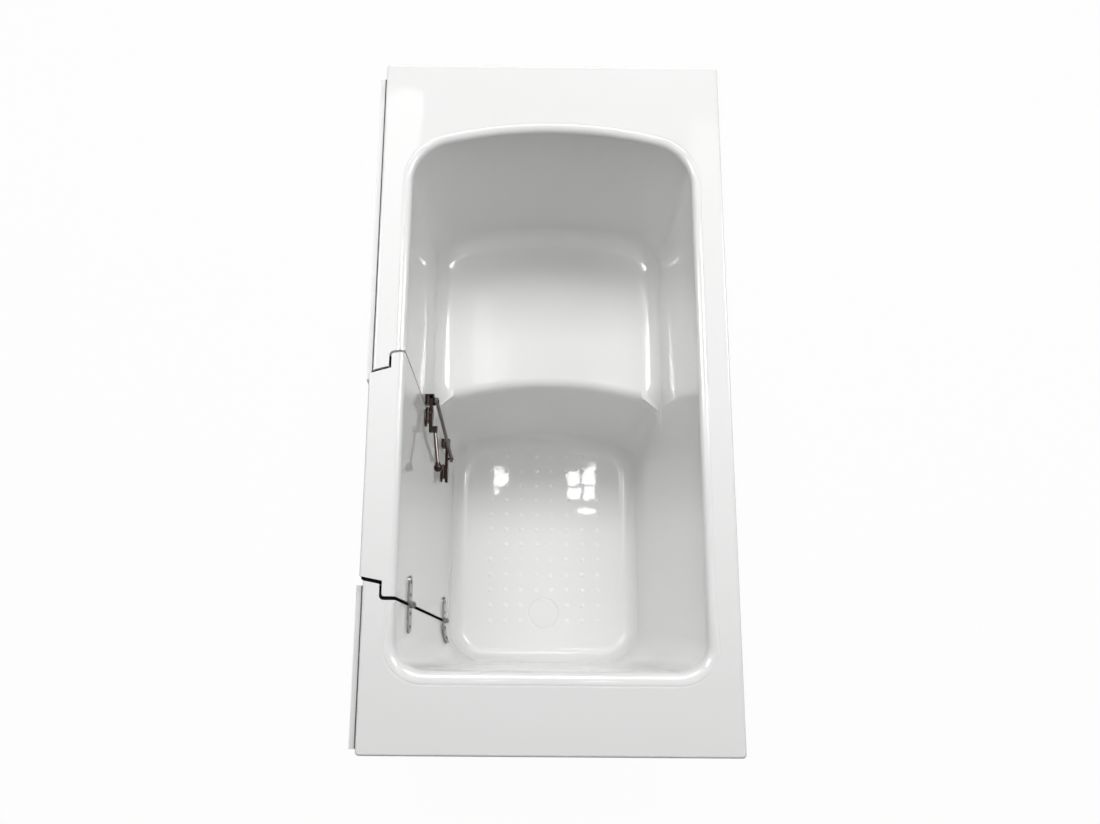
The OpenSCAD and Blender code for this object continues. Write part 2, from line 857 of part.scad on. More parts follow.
// Steel plates inside the door that the hinge and latch screws bite into
backing_t = 3;
module door_backing_plates() {
  x = -door_t - seat_gap - backing_t;
  color("gray")
    tub_place() {
      for (d = [upper_hinge_depth, lower_hinge_depth])
        on_wall(hinge_y, d)
          translate([x, 14, -leaf_h / 2])
            cube([backing_t, leaf_l - 14, leaf_h]);
      for (p = latch_places)
        on_wall(p[0], p[1])
          translate([x, backing_shift - latch_base_l / 2, -latch_base_w / 2])
            cube([backing_t, latch_base_l, latch_base_w]);
    }
}

// Rubber strip on the jamb's rebate, which the door's flange closes on
module door_gasket() {
  edge = (hinge_rebate - gasket_w) / 2 + hinge_gap / 2;
  thick = seal_gap - seat_gap;
  color("black")
    tub_place()
      intersection() {
        translate([rebate_x, 0, 0])
          rotate([90, 0, 90])
            linear_extrude(height = thick)
              difference() {
                polygon(plug_outline(rebate_x, edge + gasket_w, edge + gasket_w));
                polygon(plug_outline(rebate_x, edge, edge));
              }
        translate([rebate_x - 1, -half_l, 0])
          cube([thick + 2, tub_length, tub_height - 1]);
      }
}

// ---- hinges ---------------------------------------------------------------------

leaf_hole_d = hinge_screw_d;
leaf_holes = [barrel_r + 13, leaf_l - 14];
knuckle_h = (leaf_h - 2 * barrel_gap) / 3;

// Flat leaf from the barrel out to its rounded end, in the wall's plane
module leaf_plate(l) {
  rotate([0, 90, 0])
    linear_extrude(height = leaf_t) {
      translate([-leaf_h / 2, 0])
        square([leaf_h, l - leaf_h / 2]);
      intersection() {
        translate([0, l - leaf_h / 2])
          circle(d = leaf_h);
        translate([-leaf_h / 2, 0])
          square([leaf_h, l]);
      }
    }
}

module leaf_bore() {
  translate([-1, 0, 0])
    rotate([0, 90, 0])
      cylinder(d = leaf_hole_d + 2 * seat_gap, h = leaf_t + 4);
}

module hinge_bore(extra) {
  translate([axis_stand, 0, -leaf_h])
    cylinder(d = hinge_pin_d + 2 * extra, h = 2 * leaf_h);
}

module door_leaf() {
  difference() {
    union() {
      translate([0, barrel_r - 2, 0])
        leaf_plate(leaf_l - barrel_r + 2);
      translate([seat_gap, 0, -knuckle_h / 2])
        cube([leaf_t - seat_gap, barrel_r, knuckle_h]);
      translate([axis_stand, 0, -knuckle_h / 2])
        cylinder(r = barrel_r, h = knuckle_h);
    }
    // Clear of the two tub knuckles
    for (s = [-1, 1])
      translate([axis_stand, 0, s * (knuckle_h + barrel_gap) - knuckle_h / 2 - barrel_gap])
        cylinder(r = barrel_r + barrel_gap, h = knuckle_h + 2 * barrel_gap);
    for (y = leaf_holes)
      translate([0, y, 0])
        leaf_bore();
    hinge_bore(pin_gap);
  }
}

// The tub leaf turns with the foot end corner once it reaches it. There it stands off by
// what the corner's facets and the draft take up over the leaf's height
function turn_start(d) = hinge_y - foot_y(d, 0) - foot_r(d, 0);
function turn_lift(d) = foot_r(d, 0) * (1 - cos(45 / n_corner)) + leaf_h / 30;
function turn_r(d) = foot_r(d, 0) - turn_lift(d);

// Place on the tub leaf, measured along it from the hinge line
module on_tub_leaf(d, y) {
  past = y - turn_start(d);
  if (past <= 0)
    translate([0, y, 0])
      children();
  else
    translate([foot_r(d, 0), turn_start(d), 0])
      rotate([0, 0, -past / turn_r(d) * 180 / PI])
        translate([-turn_r(d), 0, 0])
          children();
}

module tub_leaf(d) {
  corner_r = foot_r(d, 0);
  r = turn_r(d);
  flat = min(turn_start(d), leaf_l);
  turn = leaf_l > flat ? (leaf_l - flat) / r * 180 / PI : 0;
  mirror([0, 1, 0])
    difference() {
      union() {
        if (turn == 0)
          translate([0, barrel_r - 2, 0])
            leaf_plate(leaf_l - barrel_r + 2);
        else
          translate([0, 0, -leaf_h / 2])
            linear_extrude(height = leaf_h) {
              translate([0, barrel_r - 2])
                square([leaf_t, flat - barrel_r + 2]);
              translate([corner_r, flat])
                leaf_turn(r, turn);
            }
        for (s = [-1, 1])
          translate([0, 0, s * (knuckle_h + barrel_gap) - knuckle_h / 2]) {
            translate([seat_gap, 0, 0])
              cube([leaf_t - seat_gap, barrel_r, knuckle_h]);
            translate([axis_stand, 0, 0])
              cylinder(r = barrel_r, h = knuckle_h);
          }
      }
      // Clear of the door's knuckle
      translate([axis_stand, 0, -knuckle_h / 2 - barrel_gap])
        cylinder(r = barrel_r + barrel_gap, h = knuckle_h + 2 * barrel_gap);
      for (y = leaf_holes)
        on_tub_leaf(d, y)
          leaf_bore();
      hinge_bore(pin_gap / 2);
    }
}

// Part of a ring of radius r and width leaf_t that turns through the given angle
module leaf_turn(r, turn) {
  far = 2 * r;
  intersection() {
    difference() {
      circle(r = r, $fn = 96);
      circle(r = r - leaf_t, $fn = 96);
    }
    polygon([[0, -eps], [-far, -eps], [-far, far], [-far * cos(turn), far * sin(turn)]]);
  }
}

module hinge_pin() {
  head_h = 2;
  translate([axis_stand, 0, -leaf_h / 2 - head_h])
    cylinder(d = hinge_pin_d, h = leaf_h + 2 * head_h);
  for (z = [-leaf_h / 2 - head_h - 1, leaf_h / 2 + seat_gap])
    translate([axis_stand, 0, z])
      cylinder(d = hinge_pin_d + 4, h = head_h + 1 - seat_gap);
}

module upper_hinge_tub_leaf() {
  color("silver")
    tub_place()
      on_wall(hinge_y, upper_hinge_depth)
        tub_leaf(upper_hinge_depth);
}

module lower_hinge_tub_leaf() {
  color("silver")
    tub_place()
      on_wall(hinge_y, lower_hinge_depth)
        tub_leaf(lower_hinge_depth);
}

module upper_hinge_door_leaf() {
  color("silver")
    tub_place()
      on_wall(hinge_y, upper_hinge_depth)
        door_leaf();
}

module lower_hinge_door_leaf() {
  color("silver")
    tub_place()
      on_wall(hinge_y, lower_hinge_depth)
        door_leaf();
}

module upper_hinge_pin() {
  color("silver")
    tub_place()
      on_wall(hinge_y, upper_hinge_depth)
        hinge_pin();
}

module lower_hinge_pin() {
  color("silver")
    tub_place()
      on_wall(hinge_y, lower_hinge_depth)
        hinge_pin();
}

// Screw in a leaf: a low head on the leaf, above what a turned leaf curves up by, and a
// shank down to the wall
module leaf_screw(head_lift = 0) {
  rotate([0, 90, 0]) {
    translate([0, 0, leaf_t + head_lift])
      cylinder(d1 = leaf_hole_d * 2, d2 = leaf_hole_d * 1.4, h = leaf_hole_d * 0.32);
    cylinder(d = leaf_hole_d, h = leaf_t + head_lift + eps);
  }
}

module hinge_door_screws() {
  color("silver")
    tub_place()
      for (d = [upper_hinge_depth, lower_hinge_depth], y = leaf_holes)
        on_wall(hinge_y + y, d)
          leaf_screw();
}

// What a head needs to clear a turned leaf, and the step where its turn starts
function head_lift(d, y) =
  y + leaf_hole_d < turn_start(d) ? 0 : seat_gap / 2 + (y < turn_start(d) ? turn_lift(d) : 0);

module hinge_tub_screws() {
  color("silver")
    tub_place()
      for (d = [upper_hinge_depth, lower_hinge_depth], y = leaf_holes)
        on_wall(hinge_y, d)
          mirror([0, 1, 0])
            on_tub_leaf(d, y)
              leaf_screw(head_lift(d, y));
}

// ---- latch ----------------------------------------------------------------------

latch_base_l = 44;
latch_base_w = 32;
latch_base_shift = -6;
backing_shift = -12;
latch_places = [[upper_pivot_y, upper_latch_depth], [lower_pivot_y, lower_latch_depth]];
hub_d = 26;
tail_l = 43;

// The door's edge at a depth, on the wall's face
function door_edge_y(d) =
  door_latch_edge + flange_flare * (-wall_x(d, 0) - rebate_x) - latch_edge_lean * d;
function nose_reach(p) = door_edge_y(p[1]) + door_gap + cam_reach - p[0];

// Plate on the door with a boss that the cam turns on
module latch_base() {
  rotate([0, 90, 0])
    difference() {
      union() {
        linear_extrude(height = base_t)
          hull()
            for (s = [-1, 1])
              translate([0, latch_base_shift + s * (latch_base_l - latch_base_w) / 2])
                circle(d = latch_base_w);
        cylinder(d = hub_d - 4, h = boss_top);
      }
      translate([0, 0, -1])
        cylinder(d = pivot_d + 2 * pin_gap, h = boss_top + 2);
    }
}

module latch_pivot() {
  head_h = 2.5;
  rotate([0, 90, 0]) {
    cylinder(d = pivot_d, h = cam_x + cam_t - head_h + eps);
    translate([0, 0, cam_x + cam_t - head_h])
      cylinder(d1 = pivot_d, d2 = pivot_d + 2 * head_h, h = head_h);
  }
}

// Outline of a cam: a hub, an arm that reaches the keeper and a tapered tail
module cam_outline(nose, tail, tip) {
  circle(d = hub_d);
  hull() {
    translate([-hub_d / 2 + 4, -1])
      square([hub_d - 8, 2]);
    translate([0, nose - cam_w / 2])
      circle(d = cam_w);
  }
  polygon([[-hub_d / 2 + 1, -4], [hub_d / 2 - 1, -4], [tip, -tail], [-tip, -tail]]);
}

module latch_cam(nose, tail, tip) {
  head_h = 2.5;
  rotate([0, 90, 0]) {
    difference() {
      translate([0, 0, cam_x])
        linear_extrude(height = cam_t)
          cam_outline(nose, tail, tip);
      cylinder(d = pivot_d + 2 * pin_gap, h = 60);
      translate([0, 0, cam_x + cam_t - head_h - pin_gap])
        cylinder(d1 = pivot_d + 2 * pin_gap, d2 = pivot_d + 2 * head_h + 4 * pin_gap,
          h = head_h + 2 * pin_gap);
    }
    // Crank pin that carries the link rod
    translate([0, crank_r, cam_x + cam_t - eps])
      cylinder(d = crank_pin_d, h = rod_x + rod_d / 2 + 1 - cam_x - cam_t);
  }
}

module upper_latch_base() {
  color("darkslategray")
    tub_place()
      on_wall(upper_pivot_y, upper_latch_depth)
        latch_base();
}

module lower_latch_base() {
  color("darkslategray")
    tub_place()
      on_wall(lower_pivot_y, lower_latch_depth)
        latch_base();
}

module upper_latch_pivot() {
  color("silver")
    tub_place()
      on_wall(upper_pivot_y, upper_latch_depth)
        latch_pivot();
}

module lower_latch_pivot() {
  color("silver")
    tub_place()
      on_wall(lower_pivot_y, lower_latch_depth)
        latch_pivot();
}

module upper_latch_cam() {
  color("darkslategray")
    tub_place()
      on_wall(upper_pivot_y, upper_latch_depth)
        difference() {
          union() {
            latch_cam(nose_reach(latch_places[0]), tail_l, lug_w / 2);
            // Raised lug that carries the lever clear of the link rod
            translate([cam_x + cam_t / 2, -tail_l, -lug_w / 2])
              cube([lever_root[0] + lug_w / 2 - cam_x - cam_t / 2, lug_l, lug_w]);
          }
          // Socket for the lever's spigot
          bar(lever_root - (spigot_l + seat_gap) * lever_way, lever_root + lever_way,
            spigot_d + 2 * pin_gap);
        }
}

module lower_latch_cam() {
  color("darkslategray")
    tub_place()
      on_wall(lower_pivot_y, lower_latch_depth)
        latch_cam(nose_reach(latch_places[1]), tail_l - 13, 2);
}

// Round bar between two points
module bar(p, q, d) {
  v = q - p;
  translate(p)
    rotate([0, acos(v[2] / norm(v)), atan2(v[1], v[0])])
      cylinder(d = d, h = norm(v));
}

// Lever: straight from the cam's lug, leaning out to the knob
spigot_d = 5;
spigot_l = 11;
lug_w = rod_d + 2;
lug_l = 15;
// The leaning lever's shoulder starts where its edge clears the lug
lug_start = 1;
lever_root = [rod_x - 2, -tail_l, 0];
lever_end = [knob_stand, -lever_l, 0];
lever_way = (lever_end - lever_root) / norm(lever_end - lever_root);
module latch_lever() {
  start = lever_root + lug_start * lever_way;
  color("darkslategray")
    tub_place()
      on_wall(upper_pivot_y, upper_latch_depth) {
        bar(start, lever_end - knob_d * 0.25 * lever_way, rod_d);
        bar(lever_root - spigot_l * lever_way, start + lever_way, spigot_d);
      }
}

module lever_knob() {
  color("darkslategray")
    tub_place()
      on_wall(upper_pivot_y, upper_latch_depth)
        difference() {
          union() {
            translate(lever_end)
              sphere(d = knob_d);
            // Neck round the lever
            bar(lever_end, lever_end - knob_d * 0.58 * lever_way, rod_d + 4);
          }
          bar(lever_root, lever_end, rod_d + 2 * pin_gap);
        }
}

// Distance between the pivots along the wall, which is the rod's length too
pivot_dy = lower_pivot_y - upper_pivot_y;
pivot_dz = -(lower_latch_depth - upper_latch_depth) / cos(side_draft);
module link_rod() {
  color("darkslategray")
    tub_place()
      on_wall(upper_pivot_y, upper_latch_depth)
        difference() {
          union() {
            bar([rod_x, crank_r, 0], [rod_x, crank_r + pivot_dy, pivot_dz], rod_d);
            for (e = [[0, 0], [pivot_dy, pivot_dz]])
              translate([rod_x - eye_h / 2, crank_r + e[0], e[1]])
                rotate([0, 90, 0])
                  cylinder(d = eye_d, h = eye_h);
          }
          for (e = [[0, 0], [pivot_dy, pivot_dz]])
            translate([rod_x - eye_h, crank_r + e[0], e[1]])
              rotate([0, 90, 0])
                cylinder(d = crank_pin_d + 2 * (e[0] == 0 ? pin_gap : seat_gap), h = 2 * eye_h);
        }
}

// Keeper on the jamb: a block with a slot that the cam's nose turns into. Its front lip
// holds the nose, and is cut away where the crank pin passes
module keeper(p) {
  y0 = door_edge_y(p[1]) + door_gap + 1.5 - p[0];
  y1 = nose_reach(p) + 5;
  z0 = cam_w / 2 + 4;
  pin_room = crank_pin_d / 2 + 0.8;
  difference() {
    translate([0, y0, -z0])
      cube([keeper_top, y1 - y0, 2 * z0]);
    // Slot, open above and towards the door
    translate([cam_x - latch_gap, y0 - 1, -cam_w / 2 - latch_gap])
      cube([cam_t + 2 * latch_gap, y1 - y0 - 3, 2 * z0 + cam_w]);
    // Room for the crank pin
    translate([cam_x, -crank_r, -pin_room])
      cube([keeper_top, 2 * crank_r + pin_room, 2 * z0]);
  }
}

module upper_keeper() {
  color("darkslategray")
    tub_place()
      on_wall(upper_pivot_y, upper_latch_depth)
        keeper(latch_places[0]);
}

module lower_keeper() {
  color("darkslategray")
    tub_place()
      on_wall(lower_pivot_y, lower_latch_depth)
        keeper(latch_places[1]);
}

// ---- drain ----------------------------------------------------------------------

flange_h = 2;
drain_flange_z = floor_z - recess_h;
tail_z = rail_z - 7;
boss_z = underside_z - recess_h;
washer_t = 3;
nut_h = 10;
waste_z = rail_z - waste_gap - waste_d / 2;
stem_d = 8;
cover_t = 2.4;
cover_lift = 8;

module drain_body() {
  bore = tail_d - 6;
  hub_h = 12;
  color("silver")
    tub_place()
      translate([0, -drain_y, 0])
        difference() {
          union() {
            difference() {
              union() {
                translate([0, 0, drain_flange_z])
                  cylinder(d = recess_d - 6, h = flange_h);
                translate([0, 0, tail_z])
                  cylinder(d = tail_d, h = drain_flange_z - tail_z + 1);
              }
              translate([0, 0, tail_z - 1])
                cylinder(d = bore, h = tub_height);
            }
            // Spider and hub that guide the cover's stem
            for (a = [0, 60, 120])
              rotate([0, 0, a])
                translate([-tail_d / 2 + 1, -1.5, drain_flange_z - hub_h])
                  cube([tail_d - 2, 3, hub_h - 4]);
            translate([0, 0, drain_flange_z - hub_h])
              cylinder(d = stem_d + 8, h = hub_h);
          }
          translate([0, 0, tail_z])
            cylinder(d = stem_d + 2 * pin_gap, h = tub_height);
        }
}

module drain_cover() {
  z0 = drain_flange_z + flange_h + 0.4;
  color("white")
    tub_place()
      translate([0, -drain_y, 0]) {
        translate([0, 0, z0])
          cylinder(d = recess_d - 6, h = cover_t);
        translate([0, 0, drain_flange_z - 30])
          cylinder(d = stem_d, h = 30 + z0 - drain_flange_z + 1);
      }
}

module drain_gasket() {
  color("black")
    tub_place()
      translate([0, -drain_y, boss_z - washer_t])
        difference() {
          cylinder(d = recess_d - 10, h = washer_t);
          translate([0, 0, -1])
            cylinder(d = tail_d + 2 * seat_gap, h = washer_t + 2);
        }
}

module drain_nut() {
  color("dimgray")
    tub_place()
      translate([0, -drain_y, boss_z - washer_t - nut_h])
        difference() {
          cylinder(d = recess_d - 12, h = nut_h, $fn = 6);
          translate([0, 0, -1])
            cylinder(d = tail_d + 2 * seat_gap, h = nut_h + 2);
        }
}

// Elbow under the drain and the pipe that runs out at the foot end
waste_end_y = half_l - 20;
module waste_elbow() {
  wall = 3;
  coupling_l = 40;
  socket_z = boss_z - washer_t - nut_h - 7;
  bend_r = waste_d / 2 + 4;
  start_y = -drain_y - bend_r;
  color("whitesmoke")
    tub_place() {
      translate([0, -drain_y, waste_z + bend_r - 2])
        difference() {
          cylinder(d = tail_d + 2 * wall, h = socket_z - waste_z - bend_r);
          translate([0, 0, tail_z - waste_z - bend_r])
            cylinder(d = tail_d + 2 * seat_gap, h = 100);
          translate([0, 0, -1])
            cylinder(d = waste_d - 2 * wall, h = 100);
        }
      translate([0, start_y, waste_z + bend_r])
        rotate([90, 0, 90])
          rotate([0, 0, -90])
            rotate_extrude(angle = 90)
              translate([bend_r, 0])
                difference() {
                  circle(d = waste_d);
                  circle(d = waste_d - 2 * wall);
                }
      // Pipe to the foot end, with a collar that stops a coupling on its free end
      translate([0, start_y, waste_z])
        rotate([90, 0, 0])
          difference() {
            union() {
              cylinder(d = waste_d, h = waste_end_y + start_y);
              translate([0, 0, waste_end_y + start_y - coupling_l - wall])
                cylinder(d = waste_d + 2 * wall, h = wall);
            }
            translate([0, 0, -1])
              cylinder(d = waste_d - 2 * wall, h = waste_end_y + start_y + 2);
          }
    }
}

tub_shell();
floor_board();
seat_board();
base_side_rails();
base_cross_rails();
corner_posts();
rear_post();
hinge_post();
latch_post();
sill_rail();
rim_end_rails();
rear_rim_rail();
front_rim_rails();
seat_legs();
seat_rails();
levelling_feet();
foot_lock_nuts();
front_panel();
panel_brackets();
panel_screws();
door_gasket();
door_inner_shell();
door_outer_skin();
door_core_board();
door_backing_plates();
upper_hinge_tub_leaf();
upper_hinge_door_leaf();
upper_hinge_pin();
lower_hinge_tub_leaf();
lower_hinge_door_leaf();
lower_hinge_pin();
hinge_tub_screws();
hinge_door_screws();
upper_latch_base();
lower_latch_base();
upper_latch_pivot();
lower_latch_pivot();
upper_latch_cam();
lower_latch_cam();
latch_lever();
lever_knob();
link_rod();
upper_keeper();
lower_keeper();
drain_body();
drain_gasket();
drain_nut();
drain_cover();
waste_elbow();
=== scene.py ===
import json
import math
from contextlib import contextmanager

import bmesh
import bpy
import numpy as np
from mathutils import Matrix, Vector


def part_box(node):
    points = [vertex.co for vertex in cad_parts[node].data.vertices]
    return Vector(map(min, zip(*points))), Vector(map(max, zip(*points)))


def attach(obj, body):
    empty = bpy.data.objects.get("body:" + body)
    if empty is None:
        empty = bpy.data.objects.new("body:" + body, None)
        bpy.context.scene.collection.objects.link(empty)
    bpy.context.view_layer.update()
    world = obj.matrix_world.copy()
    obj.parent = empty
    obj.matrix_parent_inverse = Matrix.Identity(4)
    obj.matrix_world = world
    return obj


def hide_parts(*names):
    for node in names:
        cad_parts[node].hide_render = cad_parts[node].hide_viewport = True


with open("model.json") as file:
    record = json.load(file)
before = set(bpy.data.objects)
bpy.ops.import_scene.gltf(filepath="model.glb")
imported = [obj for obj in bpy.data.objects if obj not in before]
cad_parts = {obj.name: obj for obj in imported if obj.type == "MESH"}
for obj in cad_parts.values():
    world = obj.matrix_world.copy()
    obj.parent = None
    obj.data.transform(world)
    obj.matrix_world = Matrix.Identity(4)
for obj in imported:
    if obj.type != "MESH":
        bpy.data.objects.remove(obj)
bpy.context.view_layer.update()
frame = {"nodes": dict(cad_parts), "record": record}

NODES = frame["nodes"]
RECORD = frame["record"]
SLOT_OF = {part["node"]: part["material_slot"] for part in RECORD["subparts"]}
BODY_OF = {node: body for body, members in RECORD["behaviour"]["bodies"].items() for node in members}
MM = 0.001

# The tub's own middle in the row frame, and its rim height, both in mm
_lo, _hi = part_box("tub_shell")
SX = (_lo.x + _hi.x) / 2 / MM
H = _hi.z / MM

# ---------------------------------------------------------------- sizes, in mm
# x and y start at the tub's own middle, with the door on the -x side and the foot end on
# the -y side. A depth d is measured down from the rim.
T = 6.0
HALF_L, HALF_W = 762.0, 381.0
RIM_R = 8.0
EDGE_R = 5.0
SKIRT_H = 45.0
SKIRT_CHAMFER = 1.0
SKIRT_FILLET = 4.0

# The basin's walls at the rim, and how far they lean in for each mm down
BASIN_HALF_W, FOOT_Y, HEAD_Y = 314.0, -600.0, 594.0
DRAFT = math.radians(3.2)
RUN = math.tan(DRAFT)
FOOT_RUN = math.tan(math.radians(2.5))
HEAD_RUN = math.tan(math.radians(4.8))
FOOT_R, FOOT_R_GROWTH = 60.0, 0.05
ARCH_R, HEAD_RC = 950.0, 100.0

# The seat, its hollowed front edge, the riser under it and the floor
FLOOR_D, SEAT_H = 885.0, 430.0
SEAT_D = FLOOR_D - SEAT_H
FLOOR_Z = H - FLOOR_D
FRONT_Y, FRONT_R = 125.0, 940.0
RISER_RUN = 32.0
RISER_RC, RISER_RC_GROWTH = 60.0, 35.0
SEAT_COVE, NOSE, FLOOR_COVE = 45.0, 25.0, 42.0

# The rolled lip: its radius, the stretches of y where that changes, and the groove round
# it, as (distance out from the lip, depth)
LIP_SIDE, LIP_FOOT, LIP_HEAD = 13.0, 24.0, 14.0
LIP_FOOT_FROM, LIP_FOOT_BLEND = -500.0, 90.0
LIP_HEAD_FROM, LIP_HEAD_BLEND = 430.0, 110.0
LIP_GROOVE = ((7.0, 0.0), (5.6, 0.25), (4.2, 0.6), (2.8, 0.6), (1.4, 0.25))

# The doorway: a wide flange on the basin side of REBATE_X, and outside it a plug that is
# narrower by the steps and flares with x
HINGE_EDGE, LATCH_EDGE, LEAN = 456.0, 60.0, 0.14
DOOR_D = 808.0
REBATE_X, FACE_X = -347.0, -389.0
FLANGE_R, FLANGE_FLARE = 60.0, 0.12
HINGE_STEP, LATCH_STEP, SILL_STEP = 32.0, 33.0, 38.0
PLUG_R, HINGE_FLARE, LATCH_FLARE = 40.0, 0.2, 0.29

# How far each form grows past the door's nominal outline: at the hinge edge, and elsewhere
JAMB, OPENING, LEAF = (5 + T, 4.5 + T), (6.3, 5.0), (-1.2, -0.4)

# The roundings of the step, the gasket's space at it, and the groove in the door's face
STEP_R, STEP_R_SMALL = 9.0, 5.0
SEAL_GAP = 5.0
DOOR_GROOVE_INSET, DOOR_GROOVE_W, DOOR_GROOVE_D = 5.0, 1.2, 2.0

# Places past all that is cut: in x out of the tub and into the basin, in y, and above
PAST_OUT, PAST_IN = -402.0, -240.0
PAST_Y, PAST_TOP = (-700, 300), H + 60

DRAIN = (0.0, -426.0, FLOOR_Z)
RECESS_D, BORE_R = 5.0, 26
DRAIN_SIDES = 96

# Depths of the rings on the straight stretches of the walls
UPPER_RINGS, WELL_RINGS = (60, 180, 300), (560, 660, 760)
DOOR_RINGS = (60, 180, 300, 420, 540, 660, 760)

# A box's faces, for its corners listed with x changing fastest and z slowest
BOX_FACES = [(0, 1, 3, 2), (4, 6, 7, 5), (0, 4, 5, 1), (2, 3, 7, 6), (0, 2, 6, 4), (1, 5, 7, 3)]

# Material indices of the moulded pieces
FRONT, BEHIND = 0, 1


# ---------------------------------------------------------------- mesh helpers
def link(ob):
    bpy.context.scene.collection.objects.link(ob)
    return ob


def new_object(name, verts, faces, mats, body, smooth=True, mat_of=None):
    """A mesh piece from points in mm round the tub's own middle."""
    me = bpy.data.meshes.new(name)
    pts = np.array(verts, float)
    pts[:, 0] += SX
    me.from_pydata((pts * MM).tolist(), [], faces)
    for m in mats:
        me.materials.append(m)
    if mat_of is not None:
        me.polygons.foreach_set("material_index", mat_of)
    me.update()
    ob = link(bpy.data.objects.new(name, me))
    if smooth:
        me.shade_smooth()
    if body:
        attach(ob, body)
    return ob


@contextmanager
def editing(ob):
    """The object's mesh as a BMesh, written back at the end of the block."""
    bm = bmesh.new()
    bm.from_mesh(ob.data)
    yield bm
    bm.to_mesh(ob.data)
    bm.free()


def apply_modifiers(ob):
    bpy.context.view_layer.update()
    dg = bpy.context.evaluated_depsgraph_get()
    me = bpy.data.meshes.new_from_object(ob.evaluated_get(dg), depsgraph=dg)
    old = ob.data
    ob.modifiers.clear()
    ob.data = me
    bpy.data.meshes.remove(old)


def boolean(ob, others, operation):
    """Applies the operation with each of the others, which it uses up."""
    for other in others:
        m = ob.modifiers.new("cut", "BOOLEAN")
        m.operation = operation
        m.solver = "EXACT"
        m.object = other
        apply_modifiers(ob)
        bpy.data.objects.remove(other)


def finish_normals(ob, angle):
    """Sharp edges by angle, and normals weighted by area so that flats stay flat."""
    ob.data.set_sharp_from_angle(angle=math.radians(angle))
    m = ob.modifiers.new("wn", "WEIGHTED_NORMAL")
    m.mode = "FACE_AREA"
    m.keep_sharp = True
    m.weight = 80
    apply_modifiers(ob)


def drop_slivers(ob):
    """Takes out faces and edges that have no size, which cuts and bevels leave behind."""
    with editing(ob) as bm:
        bmesh.ops.dissolve_degenerate(bm, dist=5e-6, edges=bm.edges)


def bevel(ob, width, angle, segments):
    """Rounds the edges sharper than the angle, in degrees, by a width in mm."""
    drop_slivers(ob)
    m = ob.modifiers.new("bev", "BEVEL")
    m.width = width * MM
    m.segments = segments
    m.limit_method = "ANGLE"
    m.angle_limit = math.radians(angle)
    m.use_clamp_overlap = True
    m.miter_outer = "MITER_ARC"
    apply_modifiers(ob)
    drop_slivers(ob)


def recalc(ob):
    """Merges points that coincide, and turns all faces outwards."""
    with editing(ob) as bm:
        bmesh.ops.remove_doubles(bm, verts=bm.verts, dist=1e-7)
        bmesh.ops.recalc_face_normals(bm, faces=bm.faces)


def ring_faces(m, n):
    """The faces between m closed rings of n points each."""
    out = []
    for k in range(m - 1):
        for i in range(n):
            j = (i + 1) % n
            out.append((k * n + i, k * n + j, (k + 1) * n + j, (k + 1) * n + i))
    return out


def circle(n):
    """n angles over a full turn."""
    return [2 * math.pi * i / n for i in range(n)]


def quarter_turn(n):
    """n + 1 angles from 0 to a quarter turn."""
    return [math.pi / 2 * i / n for i in range(n + 1)]


def lathe(name, profile, centre, mats, body, n):
    """Turned solid from (radius, z) pairs in mm, closed at both ends."""
    cx, cy, cz = centre
    verts = [(cx + r * math.cos(a), cy + r * math.sin(a), cz + z) for r, z in profile for a in circle(n)]
    k = len(verts)
    verts += [(cx, cy, cz + profile[0][1]), (cx, cy, cz + profile[-1][1])]
    last = (len(profile) - 1) * n
    faces = ring_faces(len(profile), n)
    faces += [(k, (i + 1) % n, i) for i in range(n)]
    faces += [(k + 1, last + i, last + (i + 1) % n) for i in range(n)]
    ob = new_object(name, verts, faces, mats, body)
    recalc(ob)
    return ob


# ---------------------------------------------------------------- materials
def new_material(name):
    mat = bpy.data.materials.new(name)
    mat.use_nodes = True
    return mat, mat.node_tree, mat.node_tree.nodes["Principled BSDF"]


def add(nt, kind, **values):
    nd = nt.nodes.new(kind)
    for k, v in values.items():
        setattr(nd, k, v)
    return nd


def noise(nt, scale, detail=3.0, rough=0.5, stretch=None):
    """A noise in the object's own metres, stretched by a scale for each axis."""
    co = add(nt, "ShaderNodeTexCoord")
    nz = add(nt, "ShaderNodeTexNoise")
    nz.inputs["Scale"].default_value = scale
    nz.inputs["Detail"].default_value = detail
    nz.inputs["Roughness"].default_value = rough
    if stretch:
        mp = add(nt, "ShaderNodeMapping")
        mp.inputs["Scale"].default_value = stretch
        nt.links.new(co.outputs["Object"], mp.inputs["Vector"])
        nt.links.new(mp.outputs["Vector"], nz.inputs["Vector"])
    else:
        nt.links.new(co.outputs["Object"], nz.inputs["Vector"])
    return nz.outputs["Fac"]


def ramp(nt, source, stops, into=None):
    """A colour ramp over the source from (position, colour) stops, linked into a socket."""
    rp = add(nt, "ShaderNodeValToRGB")
    el = rp.color_ramp.elements
    while len(el) < len(stops):
        el.new(0.5)
    for e, (position, colour) in zip(el, stops):
        e.position = position
        e.color = (*colour, 1)
    nt.links.new(source, rp.inputs["Fac"])
    if into is not None:
        nt.links.new(rp.outputs["Color"], into)
    return rp.outputs["Color"]


def maths(nt, operation, first, second=None):
    """A Math node of one socket, and of a second socket or a number."""
    nd = add(nt, "ShaderNodeMath", operation=operation)
    nt.links.new(first, nd.inputs[0])
    if isinstance(second, float):
        nd.inputs[1].default_value = second
    elif second is not None:
        nt.links.new(second, nd.inputs[1])
    return nd.outputs[0]


def axes_of(nt, output):
    """The X, Y and Z sockets of a vector that the Geometry node gives."""
    geo = add(nt, "ShaderNodeNewGeometry")
    split = add(nt, "ShaderNodeSeparateXYZ")
    nt.links.new(geo.outputs[output], split.inputs[0])
    return split.outputs


